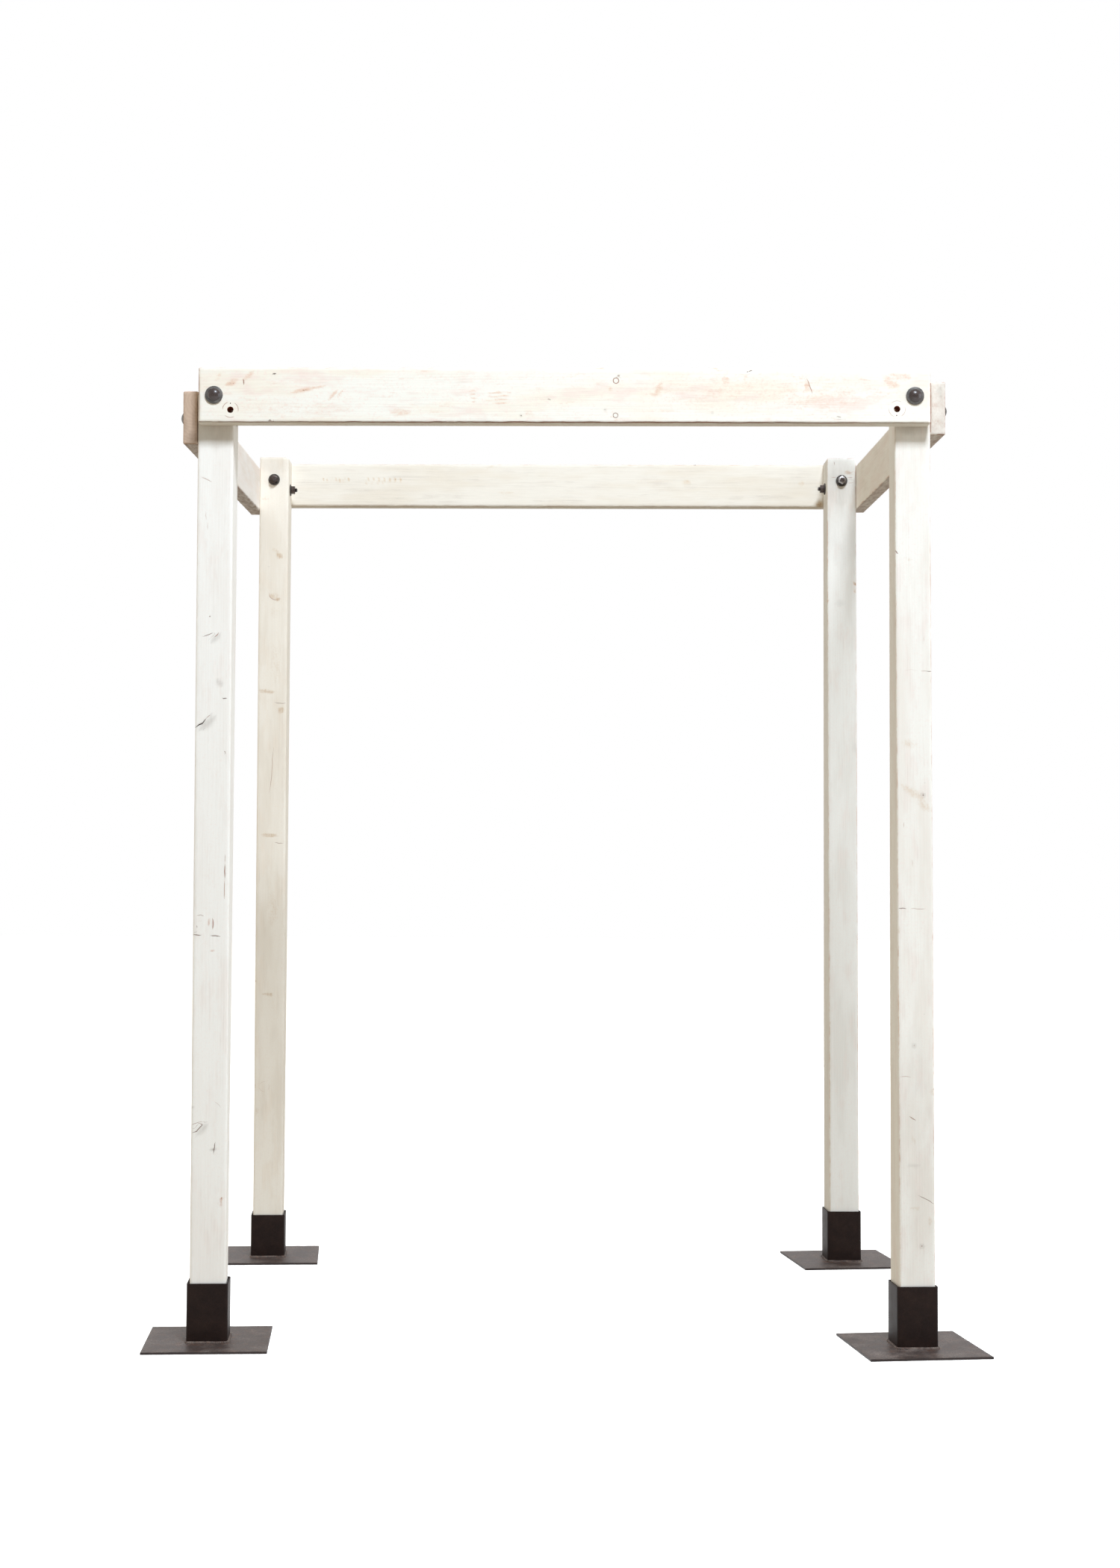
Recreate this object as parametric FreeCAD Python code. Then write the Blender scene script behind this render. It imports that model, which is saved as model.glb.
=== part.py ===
import FreeCAD, Part
import math
import os

# Walk-through garden arch: four square timber posts in four loose steel feet, tied at
# the top by four planks, each held by one carriage bolt at either end.
# Millimetres. X runs to the right, Y to the back, Z up. The origin lies on the ground,
# in the middle of the four feet.

# Timber sections
POST_SIDE = 88.9
POST_EASE = 3.0
BEAM_THICK = 38.1
FRONT_BEAM_HIGH = 139.7
BEAM_HIGH = 133.35
BEAM_EASE = 3.0

# Layout of the posts, measured between their centres
SPACING_X = 1741.0
SPACING_Y = 1219.2
REAR_POST_LONG = 2438.4
FRONT_POST_LONG = 2404.0

# Planks
CROSS_BEAM_LONG = 1819.0
FRONT_BEAM_TOP_DROP = 27.0
REAR_BEAM_TOP_DROP = 3.7
SIDE_BEAM_LONG = SPACING_Y + POST_SIDE
SIDE_BOLT_DROP = {"left": 94.5, "right": 87.6}
SIDE_BOLT_ABOVE_MIDDLE = {"left": 4.5, "right": 0.0}
SIDE_FALL_DEG = {"left": 2.1, "right": 1.45}

# Two vacant bolt holes in the front beam: distance from the beam's end, drop below its top
VACANT_HOLE_R = 7.95
VACANT_HOLES = ((-1, 82.8, 106.4), (1, 86.2, 102.3))

# Carriage bolts with their washers and nuts
BOLT_R = 6.35
THREAD_R = 6.2
BOLT_LONG = 152.4
THREAD_LONG = 38.0
DOME_R = 15.6
DOME_HIGH = 8.0
NECK_SIDE = 12.6
NECK_CORNER_R = 8.2
NECK_LONG = 7.0
HOLE_R = 7.15
HEAD_WASHER = (22.2, 8.75, 3.2)
NUT_WASHER = (17.45, 7.15, 2.8)
NUT_FLATS = 22.225
NUT_HIGH = 12.3

# Steel feet: plate, square tube socket and the fillet weld between them
PLATE_SIDE = 304.8
PLATE_THICK = 6.35
SOCKET_SIDE = 101.6
SOCKET_WALL = 3.175
SOCKET_CORNER_R = 7.0
WELD_LEG = 5.0
POST_LIFT = 0.3
SOCKET_HIGH = {"front_left": 144.0, "front_right": 150.0, "rear_left": 126.0, "rear_right": 149.0}

# The feet stand a little turned: the sockets within their play round the posts, and the
# plates as they were welded on
SOCKET_TURN_DEG = {"front_left": 4.1, "front_right": 4.1, "rear_left": 4.1, "rear_right": 2.2}
PLATE_TURN_DEG = {"front_left": 4.3, "front_right": 7.6, "rear_left": 4.7, "rear_right": 7.6}

# Heights and positions that follow from the sizes above
POST_FOOT_Z = PLATE_THICK + POST_LIFT
REAR_TOP_Z = POST_FOOT_Z + REAR_POST_LONG
FRONT_BEAM_TOP_Z = REAR_TOP_Z - FRONT_BEAM_TOP_DROP
REAR_BEAM_TOP_Z = REAR_TOP_Z - REAR_BEAM_TOP_DROP
SIDE_REAR_Z = {hand: REAR_TOP_Z - drop for hand, drop in SIDE_BOLT_DROP.items()}
SIDE_FALL = {hand: SPACING_Y * math.tan(math.radians(turn)) for hand, turn in SIDE_FALL_DEG.items()}
SIDE_FRONT_Z = {hand: rear_z - SIDE_FALL[hand] for hand, rear_z in SIDE_REAR_Z.items()}
HALF_X = SPACING_X / 2.0
HALF_Y = SPACING_Y / 2.0


def reach(side):
    """How far the plates on one side of the arch stand out from their posts' centres."""
    turns = [math.radians(turn) for corner, turn in PLATE_TURN_DEG.items() if side in corner]
    return max(PLATE_SIDE / 2 * (math.cos(turn) + math.sin(turn)) for turn in turns)


# Middle of the posts, set off so that the origin is the middle of the ground the plates cover
MID_X = (reach("left") - reach("right")) / 2.0
MID_Y = (reach("front") - reach("rear")) / 2.0
LEFT_X = MID_X - HALF_X
RIGHT_X = MID_X + HALF_X
FRONT_Y = MID_Y - HALF_Y
REAR_Y = MID_Y + HALF_Y
CORNERS = {
    "front_left": (LEFT_X, FRONT_Y),
    "front_right": (RIGHT_X, FRONT_Y),
    "rear_left": (LEFT_X, REAR_Y),
    "rear_right": (RIGHT_X, REAR_Y),
}

UP = FreeCAD.Vector(0, 0, 1)


def vec(x, y, z):
    """Short form for a vector."""
    return FreeCAD.Vector(x, y, z)


def timber(size_x, size_y, size_z, ease):
    """Bar centred on the origin with its four longest edges eased."""
    bar = Part.makeBox(size_x, size_y, size_z, vec(-size_x / 2, -size_y / 2, -size_z / 2))
    longest = max(size_x, size_y, size_z)
    edges = [edge for edge in bar.Edges if abs(edge.Length - longest) < 1e-6]
    return bar.makeFillet(ease, edges)


def rounded_square(side, radius, height):
    """Upright square prism with rounded corners, standing on Z = 0."""
    block = Part.makeBox(side, side, height, vec(-side / 2, -side / 2, 0))
    uprights = [edge for edge in block.Edges if abs(edge.tangentAt(edge.FirstParameter).z) > 0.9]
    return block.makeFillet(radius, uprights)


def turned_to(shape, place, outward):
    """Copy of a shape made along +Z, turned so that +Z points outward, and moved to place."""
    copy = shape.copy()
    copy.Placement = FreeCAD.Placement(place, FreeCAD.Rotation(UP, outward))
    return copy


def ring(outer_r, inner_r, height):
    """Flat washer standing on Z = 0."""
    return Part.makeCylinder(outer_r, height).cut(Part.makeCylinder(inner_r, height))


def square_neck(grow=0.0):
    """Square neck with rounded corners below Z = 0."""
    side = NECK_SIDE + 2 * grow
    block = Part.makeBox(side, side, NECK_LONG, vec(-side / 2, -side / 2, -NECK_LONG))
    return block.common(Part.makeCylinder(NECK_CORNER_R + grow, NECK_LONG, vec(0, 0, -NECK_LONG)))


def carriage_bolt():
    """Bolt with the underside of its domed head on Z = 0 and its shank along -Z."""
    ball_r = (DOME_R ** 2 + DOME_HIGH ** 2) / (2 * DOME_HIGH)
    ball = Part.makeSphere(ball_r, vec(0, 0, DOME_HIGH - ball_r))
    dome = ball.common(Part.makeCylinder(DOME_R, DOME_HIGH + 1.0))
    plain_long = BOLT_LONG - THREAD_LONG
    shank = Part.makeCylinder(BOLT_R, plain_long, vec(0, 0, -plain_long))
    thread = Part.makeCylinder(THREAD_R, THREAD_LONG - 1.5, vec(0, 0, 1.5 - BOLT_LONG))
    point = Part.makeCone(THREAD_R - 1.5, THREAD_R, 1.5, vec(0, 0, -BOLT_LONG))
    return dome.multiFuse([square_neck(), shank, thread, point]).removeSplitter()


def hex_nut():
    """Hexagon nut standing on Z = 0, its corners chamfered on both faces."""
    corner_r = NUT_FLATS / math.sqrt(3.0)
    angles = [math.radians(60 * i) for i in range(7)]
    outline = Part.makePolygon([vec(corner_r * math.cos(a), corner_r * math.sin(a), 0) for a in angles])
    prism = Part.Face(outline).extrude(vec(0, 0, NUT_HIGH))
    trim = Part.makeCylinder(corner_r, NUT_HIGH)
    trim = trim.makeChamfer(1.2, [edge for edge in trim.Edges if isinstance(edge.Curve, Part.Circle)])
    return prism.common(trim).cut(Part.makeCylinder(BOLT_R, NUT_HIGH))


def bolt_hole(face_point, outward):
    """Clearance hole through plank and post, with the pocket that the square neck bites."""
    deep = BEAM_THICK + POST_SIDE + 20.0
    hole = turned_to(Part.makeCylinder(HOLE_R, deep), face_point + outward * 10.0, outward * -1)
    neck = turned_to(square_neck(0.05), face_point + outward * HEAD_WASHER[2], outward)
    return hole.fuse(neck)


# Where each plank's two bolts enter its outer face, and the way those faces look
OUT = POST_SIDE / 2 + BEAM_THICK
front_bolt_z = FRONT_BEAM_TOP_Z - FRONT_BEAM_HIGH / 2
rear_bolt_z = REAR_BEAM_TOP_Z - BEAM_HIGH / 2
BOLTS = {
    "front_beam": (vec(0, -1, 0), {
        "front_left": vec(LEFT_X, FRONT_Y - OUT, front_bolt_z),
        "front_right": vec(RIGHT_X, FRONT_Y - OUT, front_bolt_z),
    }),
    "rear_beam": (vec(0, 1, 0), {
        "rear_left": vec(LEFT_X, REAR_Y + OUT, rear_bolt_z),
        "rear_right": vec(RIGHT_X, REAR_Y + OUT, rear_bolt_z),
    }),
    "left_side_beam": (vec(-1, 0, 0), {
        "front_left": vec(LEFT_X - OUT, FRONT_Y, SIDE_FRONT_Z["left"]),
        "rear_left": vec(LEFT_X - OUT, REAR_Y, SIDE_REAR_Z["left"]),
    }),
    "right_side_beam": (vec(1, 0, 0), {
        "front_right": vec(RIGHT_X + OUT, FRONT_Y, SIDE_FRONT_Z["right"]),
        "rear_right": vec(RIGHT_X + OUT, REAR_Y, SIDE_REAR_Z["right"]),
    }),
}

parts = {}

# Posts, upright and square to the planks, each drilled for the two bolts that meet in it
for corner, (x, y) in CORNERS.items():
    long = FRONT_POST_LONG if corner.startswith("front") else REAR_POST_LONG
    post = timber(POST_SIDE, POST_SIDE, long, POST_EASE)
    post.translate(vec(x, y, POST_FOOT_Z + long / 2))
    for outward, points in BOLTS.values():
        if corner in points:
            post = post.cut(bolt_hole(points[corner], outward))
    parts[corner + "_post"] = post

# Planks: two level ones across, two at the sides that fall a little to the front
front_blank = timber(CROSS_BEAM_LONG, BEAM_THICK, FRONT_BEAM_HIGH, BEAM_EASE)
rear_blank = timber(CROSS_BEAM_LONG, BEAM_THICK, BEAM_HIGH, BEAM_EASE)
side_blanks = {}
side_mid_z = {}
for hand, fall_deg in SIDE_FALL_DEG.items():
    side_blanks[hand] = timber(BEAM_THICK, SIDE_BEAM_LONG, BEAM_HIGH, BEAM_EASE)
    side_blanks[hand].rotate(vec(0, 0, 0), vec(1, 0, 0), fall_deg)
    side_mid_z[hand] = (SIDE_FRONT_Z[hand] + SIDE_REAR_Z[hand]) / 2 - SIDE_BOLT_ABOVE_MIDDLE[hand]
TO_CENTRE = OUT - BEAM_THICK / 2
BEAM_CENTRES = {
    "front_beam": (front_blank, vec(MID_X, FRONT_Y - TO_CENTRE, front_bolt_z)),
    "rear_beam": (rear_blank, vec(MID_X, REAR_Y + TO_CENTRE, rear_bolt_z)),
    "left_side_beam": (side_blanks["left"], vec(LEFT_X - TO_CENTRE, MID_Y, side_mid_z["left"])),
    "right_side_beam": (side_blanks["right"], vec(RIGHT_X + TO_CENTRE, MID_Y, side_mid_z["right"])),
}
for name, (blank, centre) in BEAM_CENTRES.items():
    beam = blank.copy()
    beam.translate(centre)
    outward, points = BOLTS[name]
    for point in points.values():
        beam = beam.cut(bolt_hole(point, outward))
    parts[name] = beam

# Vacant holes near the ends of the front beam
for hand, inset, drop in VACANT_HOLES:
    hole_x = MID_X + hand * (CROSS_BEAM_LONG / 2 - inset)
    start = vec(hole_x, FRONT_Y - OUT - 1.0, FRONT_BEAM_TOP_Z - drop)
    hole = Part.makeCylinder(VACANT_HOLE_R, BEAM_THICK + 2.0, start, vec(0, 1, 0))
    parts["front_beam"] = parts["front_beam"].cut(hole)

# Bolts, washers and nuts: one group of each kind per plank
bolt = carriage_bolt()
head_washer = ring(*HEAD_WASHER)
nut_washer = ring(*NUT_WASHER)
nut = hex_nut()
for name, (outward, points) in BOLTS.items():
    groups = {"bolts": [], "head_washers": [], "nut_washers": [], "nuts": []}
    for point in points.values():
        inner = point - outward * (BEAM_THICK + POST_SIDE)
        groups["bolts"].append(turned_to(bolt, point + outward * HEAD_WASHER[2], outward))
        groups["head_washers"].append(turned_to(head_washer, point, outward))
        groups["nut_washers"].append(turned_to(nut_washer, inner, outward * -1))
        groups["nuts"].append(turned_to(nut, inner - outward * NUT_WASHER[2], outward * -1))
    for kind, solids in groups.items():
        parts[name + "_" + kind] = Part.makeCompound(solids)

# Feet: flat plate, tube socket that the post drops into, weld round the socket's foot
plate = Part.makeBox(PLATE_SIDE, PLATE_SIDE, PLATE_THICK, vec(-PLATE_SIDE / 2, -PLATE_SIDE / 2, 0))
for corner, (x, y) in CORNERS.items():
    high = SOCKET_HIGH[corner]
    tube = rounded_square(SOCKET_SIDE, SOCKET_CORNER_R, high)
    bore_side = SOCKET_SIDE - 2 * SOCKET_WALL
    tube = tube.cut(rounded_square(bore_side, SOCKET_CORNER_R - SOCKET_WALL, high))
    bead = rounded_square(SOCKET_SIDE + 2 * WELD_LEG, SOCKET_CORNER_R + WELD_LEG, WELD_LEG)
    rim = [edge for edge in bead.Edges if edge.BoundBox.ZMin > WELD_LEG - 1e-6]
    bead = bead.makeChamfer(WELD_LEG - 0.6, rim)
    bead = bead.cut(rounded_square(SOCKET_SIDE, SOCKET_CORNER_R, WELD_LEG))
    foot = {
        "base_plate": (plate, 0.0, PLATE_TURN_DEG[corner]),
        "socket": (tube, PLATE_THICK, SOCKET_TURN_DEG[corner]),
        "weld_bead": (bead, PLATE_THICK, SOCKET_TURN_DEG[corner]),
    }
    for piece, (shape, lift, turn) in foot.items():
        solid = shape.copy()
        solid.rotate(vec(0, 0, 0), UP, turn)
        solid.translate(vec(x, y, lift))
        parts[corner + "_" + piece] = solid

os.makedirs("parts", exist_ok=True)
for name, shape in parts.items():
    shape.exportStep("parts/" + name + ".step")
    solids = len(shape.Solids)
    print(name, "solids", solids, "valid", shape.isValid(), "volume", round(shape.Volume))
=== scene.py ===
"""Dresses a walk-through garden arch: a whitewashed timber frame standing in four loose steel feet.

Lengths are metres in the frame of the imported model: X to the right, Y to the back, Z up.
Marks on the timbers are written in millimetres, as a rule laid along the piece would read them.
"""

import logging
import math
from contextlib import contextmanager
from dataclasses import dataclass, field
from enum import Enum
from typing import Iterator, Union

import bmesh
import bpy
import numpy as np
from mathutils import Matrix, Vector


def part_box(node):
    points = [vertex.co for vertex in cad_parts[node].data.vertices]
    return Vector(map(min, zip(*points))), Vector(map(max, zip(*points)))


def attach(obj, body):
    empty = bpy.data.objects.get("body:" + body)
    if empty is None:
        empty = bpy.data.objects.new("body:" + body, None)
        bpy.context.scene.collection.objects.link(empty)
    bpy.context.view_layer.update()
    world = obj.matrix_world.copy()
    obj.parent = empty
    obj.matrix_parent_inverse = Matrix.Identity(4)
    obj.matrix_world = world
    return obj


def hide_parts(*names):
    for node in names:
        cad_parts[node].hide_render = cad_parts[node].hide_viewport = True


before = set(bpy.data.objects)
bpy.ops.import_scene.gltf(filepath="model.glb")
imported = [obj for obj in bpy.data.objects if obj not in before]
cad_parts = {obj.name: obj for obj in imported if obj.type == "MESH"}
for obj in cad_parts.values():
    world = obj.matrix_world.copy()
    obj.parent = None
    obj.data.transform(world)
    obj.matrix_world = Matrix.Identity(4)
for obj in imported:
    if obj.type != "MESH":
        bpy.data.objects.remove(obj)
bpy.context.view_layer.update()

LOG = logging.getLogger("garden_arch")
FRAME_BODY = "timber_frame"
MM = 0.001

# Millimetres beyond any mark, and metres below any detail
FAR = 1e3
NEAR = 1e-6

# Each foot's corner, and the turns of its plate and of its socket in degrees
FEET = (("front_left", 4.3, 4.1), ("front_right", 7.6, 4.1),
        ("rear_left", 4.7, 4.1), ("rear_right", 7.6, 2.2))

# Names of the attributes that carry a piece's own rule and its marks, painted shade and painted shadow
# lines among them, to its finish
LUMBER = "lumber"
COAT = "coat"
CRACK_AND_SHADOW_LINES = "crack_and_shadow_lines"
STEEL = "steel"

Array = np.ndarray
Piece = bpy.types.Object
Material = bpy.types.Material
Colour = tuple[float, float, float, float]
Triple = tuple[float, float, float]
Term = Union["Value", float, Colour, Triple]

WHITE: Colour = (1.0, 1.0, 1.0, 1.0)


def srgb(red: float, green: float, blue: float) -> Colour:
    """Turns a colour as a screen shows it into linear light.

    Args:
        red: Red level, 0 to 255.
        green: Green level, 0 to 255.
        blue: Blue level, 0 to 255.

    Returns:
        The linear colour with full opacity.
    """
    def linear(level: float) -> float:
        """One channel."""
        share = level / 255
        return share / 12.92 if share <= 0.04045 else ((share + 0.055) / 1.055) ** 2.4

    return linear(red), linear(green), linear(blue), 1.0


def even(cells: float) -> Triple:
    """The same number of cells along each axis."""
    return cells, cells, cells


class Value:
    """One output of a shader node, which takes part in Python arithmetic."""

    def __init__(self, graph: "Graph", socket: bpy.types.NodeSocket) -> None:
        """Keeps the graph and the socket that carries the value."""
        self.graph = graph
        self.socket = socket

    def output(self, key: Union[int, str]) -> "Value":
        """Another output of the same node."""
        return Value(self.graph, self.socket.node.outputs[key])

    def maths(self, operation: str, *terms: Term) -> "Value":
        """A Math node over the given terms."""
        return self.graph.node("ShaderNodeMath", {"operation": operation}, dict(enumerate(terms)))

    def __add__(self, other: Term) -> "Value":
        """Sum."""
        return self.maths("ADD", self, other)

    def __radd__(self, other: Term) -> "Value":
        """Sum, reflected."""
        return self.maths("ADD", other, self)

    def __sub__(self, other: Term) -> "Value":
        """Difference."""
        return self.maths("SUBTRACT", self, other)

    def __rsub__(self, other: Term) -> "Value":
        """Difference, reflected."""
        return self.maths("SUBTRACT", other, self)

    def __mul__(self, other: Term) -> "Value":
        """Product."""
        return self.maths("MULTIPLY", self, other)

    def __rmul__(self, other: Term) -> "Value":
        """Product, reflected."""
        return self.maths("MULTIPLY", other, self)

    def __truediv__(self, other: Term) -> "Value":
        """Quotient."""
        return self.maths("DIVIDE", self, other)

    def __abs__(self) -> "Value":
        """Size without sign."""
        return self.maths("ABSOLUTE", self)

    def at_least(self, other: Term) -> "Value":
        """The larger of two values."""
        return self.maths("MAXIMUM", self, other)

    def rise(self, low: float, high: float) -> "Value":
        """A smooth step from 0 at low to 1 at high."""
        span = {"Value": self, "From Min": low, "From Max": high}
        return self.graph.node("ShaderNodeMapRange", {"interpolation_type": "SMOOTHSTEP"}, span)


class Graph:
    """The nodes of one material or of the world."""

    def __init__(self, tree: bpy.types.NodeTree) -> None:
        """Empties the tree and keeps it."""
        tree.nodes.clear()
        self.tree = tree

    def node(self, kind: str, settings: dict | None = None, sockets: dict | None = None,
             output: Union[int, str] = 0) -> Union[Value, None]:
        """Adds one node.

        Args:
            kind: The node's type.
            settings: Properties of the node, set first.
            sockets: Values or links of its inputs, by name or number.
            output: The output to hand back.

        Returns:
            That output, or None for a node without outputs.
        """
        made = self.tree.nodes.new(kind)
        for key, setting in (settings or {}).items():
            setattr(made, key, setting)
        for key, term in (sockets or {}).items():
            if isinstance(term, Value):
                self.tree.links.new(term.socket, made.inputs[key])
            else:
                made.inputs[key].default_value = term
        return Value(self, made.outputs[output]) if made.outputs else None

    def mix(self, share: Term, first: Term, second: Term, blend: str = "MIX") -> Value:
        """Two colours mixed, with this share of the second one."""
        settings = {"data_type": "RGBA", "blend_type": blend, "clamp_factor": True}
        return self.node("ShaderNodeMix", settings, {0: share, 6: first, 7: second}, 2)

    def vector(self, operation: str, first: Term, second: Term) -> Value:
        """A Vector Math node over two vectors."""
        return self.node("ShaderNodeVectorMath", {"operation": operation}, {0: first, 1: second})

    def noise(self, place: Value, stretch: Triple, detail: float, roughness: float = 0.6) -> Value:
        """Noise whose cells are stretched.

        Args:
            place: The coordinates.
            stretch: Cells per metre along each axis.
            detail: Octaves of detail.
            roughness: Weight of the finer octaves.

        Returns:
            A value around one half.
        """
        sockets = {"Vector": self.vector("MULTIPLY", place, stretch), "Scale": 1.0,
                   "Detail": detail, "Roughness": roughness}
        return self.node("ShaderNodeTexNoise", None, sockets)

    def attribute(self, name: str, output: str) -> Value:
        """Reads an attribute of the mesh."""
        return self.node("ShaderNodeAttribute", {"attribute_name": name}, None, output)

    def split(self, triple: Value) -> tuple[Value, Value, Value]:
        """The three parts of a vector."""
        first = self.node("ShaderNodeSeparateXYZ", None, {0: triple})
        return first, first.output(1), first.output(2)

    def surface(self, sockets: dict) -> None:
        """Ends a material in a Principled shader."""
        shader = self.node("ShaderNodeBsdfPrincipled", None, sockets)
        self.node("ShaderNodeOutputMaterial", None, {"Surface": shader})


def new_material(name: str) -> tuple[Material, Graph]:
    """Starts a material.

    Args:
        name: The material's name.

    Returns:
        The material and its empty graph.
    """
    material = bpy.data.materials.new(name)
    material.use_nodes = True
    return material, Graph(material.node_tree)


@dataclass(frozen=True)
class Whitewash:
    """A thin white coat on softwood, rubbed through in places."""

    name: str
    paint: Colour
    shade: Colour
    smear: Colour
    blush: Colour = srgb(240, 232, 220)
    wood: Colour = srgb(196, 158, 128)
    late_wood: Colour = srgb(140, 98, 76)
    # Multiplied in for dirt, grain lines and real soiling, and also for painted shade: under the front
    # beam, on the rear right post's top, below lifted splinters and round every line mark.
    grime_and_shade: Colour = srgb(150, 142, 134)
    # The two line colours draw real cracks and scratches and also painted shadow lines along gaps and
    # arrises.
    crack_and_shadow: Colour = srgb(58, 48, 44)
    scratch_and_shadow: Colour = srgb(176, 112, 88)
    rub: Colour = srgb(206, 164, 142)
    mottle: float = 0.85
    streak: float = 0.5
    fibre: float = 0.08
    speck: float = 0.55
    rings: float = 0.06
    edge_wear: float = 0.75
    roughness: float = 0.72
    grain_start: Triple = (0.0, 0.0, 0.0)

    FIBRE_CELLS = (14.0, 400.0, 400.0)
    HAIR_CELLS = (22.0, 800.0, 800.0)
    CLOUD_CELLS = (3.2, 15.0, 15.0)
    DRIFT_CELLS = (9.0, 28.0, 28.0)
    SPECK_CELLS = (150.0, 190.0, 190.0)
    BLOT_CELLS = (24.0, 70.0, 70.0)
    RING_STRETCH = (0.05, 1.0, 1.0)
    RING_SCALE = 40.0
    RING_SWAY = 9.0
    RELIEF = 0.8 * MM

    def dress(self) -> Material:
        """Builds the finish.

        Returns:
            The material, which reads the timber's own attributes.
        """
        material, graph = new_material(self.name)
        lumber = graph.attribute(LUMBER, "Vector")
        place = graph.vector("ADD", lumber, self.grain_start)
        fibre = graph.noise(place, self.FIBRE_CELLS, 4.0, 0.7)
        hair = graph.noise(place, self.HAIR_CELLS, 2.0)
        cloud = graph.noise(place, self.CLOUD_CELLS, 3.0)
        drift = graph.noise(place, self.DRIFT_CELLS, 3.0)
        speck = graph.noise(place, self.SPECK_CELLS, 3.0, 0.7)
        blot = graph.noise(place, self.BLOT_CELLS, 4.0)
        rings = graph.node(
            "ShaderNodeTexWave",
            {"wave_type": "RINGS", "rings_direction": "X"},
            {"Vector": graph.vector("MULTIPLY", place, self.RING_STRETCH), "Scale": self.RING_SCALE,
             "Distortion": self.RING_SWAY, "Detail": 4.0, "Detail Scale": 0.9, "Detail Roughness": 0.6},
            "Fac",
        )
        wear, stain_and_shade, arris = graph.split(graph.attribute(COAT, "Vector"))
        offset, width, tone = graph.split(graph.attribute(CRACK_AND_SHADOW_LINES, "Vector"))

        colour = graph.mix(cloud.rise(0.42, 0.66) * self.mottle, self.paint, self.shade)
        colour = graph.mix(drift.rise(0.5, 0.7) * self.streak, colour, self.blush)
        lines = fibre.rise(0.44, 0.76) * (0.35 + drift.rise(0.38, 0.66) * 0.65) * self.fibre
        lines = lines + rings.rise(0.55, 1.0) * drift.rise(0.45, 0.7) * self.rings
        colour = graph.mix(lines, colour, self.grime_and_shade, "MULTIPLY")
        colour = graph.mix(speck.rise(0.5, 0.72) * self.speck, colour, self.blush)
        frayed = (fibre - 0.5) * 0.6 + (speck - 0.5) * 0.7 + (blot - 0.5) * 0.8
        ragged = wear + frayed * wear.rise(0.0, 0.4)
        colour = graph.mix(ragged.rise(0.08, 0.75) * 0.8, colour, self.smear)
        grain = graph.mix(rings * 0.7 + fibre * 0.3, self.wood, self.late_wood)
        bare = ragged.rise(0.66, 0.82)
        colour = graph.mix(bare, colour, grain)
        edge = (arris + (blot - 0.5) * 1.2).rise(0.62, 1.0) * self.edge_wear
        colour = graph.mix(edge, colour, self.rub)
        # The second coat channel carries real dirt and also painted shade and shadow patches.
        soil_and_shade = stain_and_shade * (0.65 + blot.rise(0.3, 0.7) * 0.35)
        colour = graph.mix(soil_and_shade, colour, self.grime_and_shade, "MULTIPLY")
        reach = abs(offset + (blot - 0.5) * 1.6 * width) / width.at_least(0.02)
        plain = 1.0 - (tone - 1.0).at_least(0.0)
        line = (1.0 - reach.rise(0.45, 1.25)) * width.rise(0.02, 0.2) * plain
        # Painted shade round every line mark: cracks, scratches and painted shadow lines.
        painted_crack_shade = (1.0 - reach.rise(0.8, 4.5)) * width.rise(0.05, 0.6) * plain * 0.18
        colour = graph.mix(painted_crack_shade, colour, self.grime_and_shade, "MULTIPLY")
        # Line marks, some of them painted shadow lines.
        colour = graph.mix(line, colour, graph.mix(tone, self.crack_and_shadow, self.scratch_and_shadow))

        height = fibre * 0.5 + hair * 0.25 + rings * 0.15 - bare * 0.5 - line * (2.0 - tone)
        relief = {"Strength": 0.5, "Distance": self.RELIEF, "Height": height}
        rough = self.roughness + (fibre - 0.5) * 0.15 + bare * 0.1
        graph.surface({"Base Color": colour, "Roughness": rough, "Specular IOR Level": 0.25,
                       "Normal": graph.node("ShaderNodeBump", None, relief)})
        return material


@dataclass(frozen=True)
class BoredWood:
    """The dark wall of a hole, burnt a little by the bit."""

    name: str = "bored_wood"
    light: Colour = srgb(196, 116, 90)
    dark: Colour = srgb(128, 76, 58)
    cells: float = 260.0

    def dress(self) -> Material:
        """Builds the finish.

        Returns:
            The material.
        """
        material, graph = new_material(self.name)
        place = graph.node("ShaderNodeTexCoord", None, None, "Object")
        grain = graph.noise(place, even(self.cells), 3.0)
        colour = graph.mix(grain.rise(0.35, 0.7), self.dark, self.light)
        graph.surface({"Base Color": colour, "Roughness": 0.85, "Specular IOR Level": 0.1})
        return material


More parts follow.
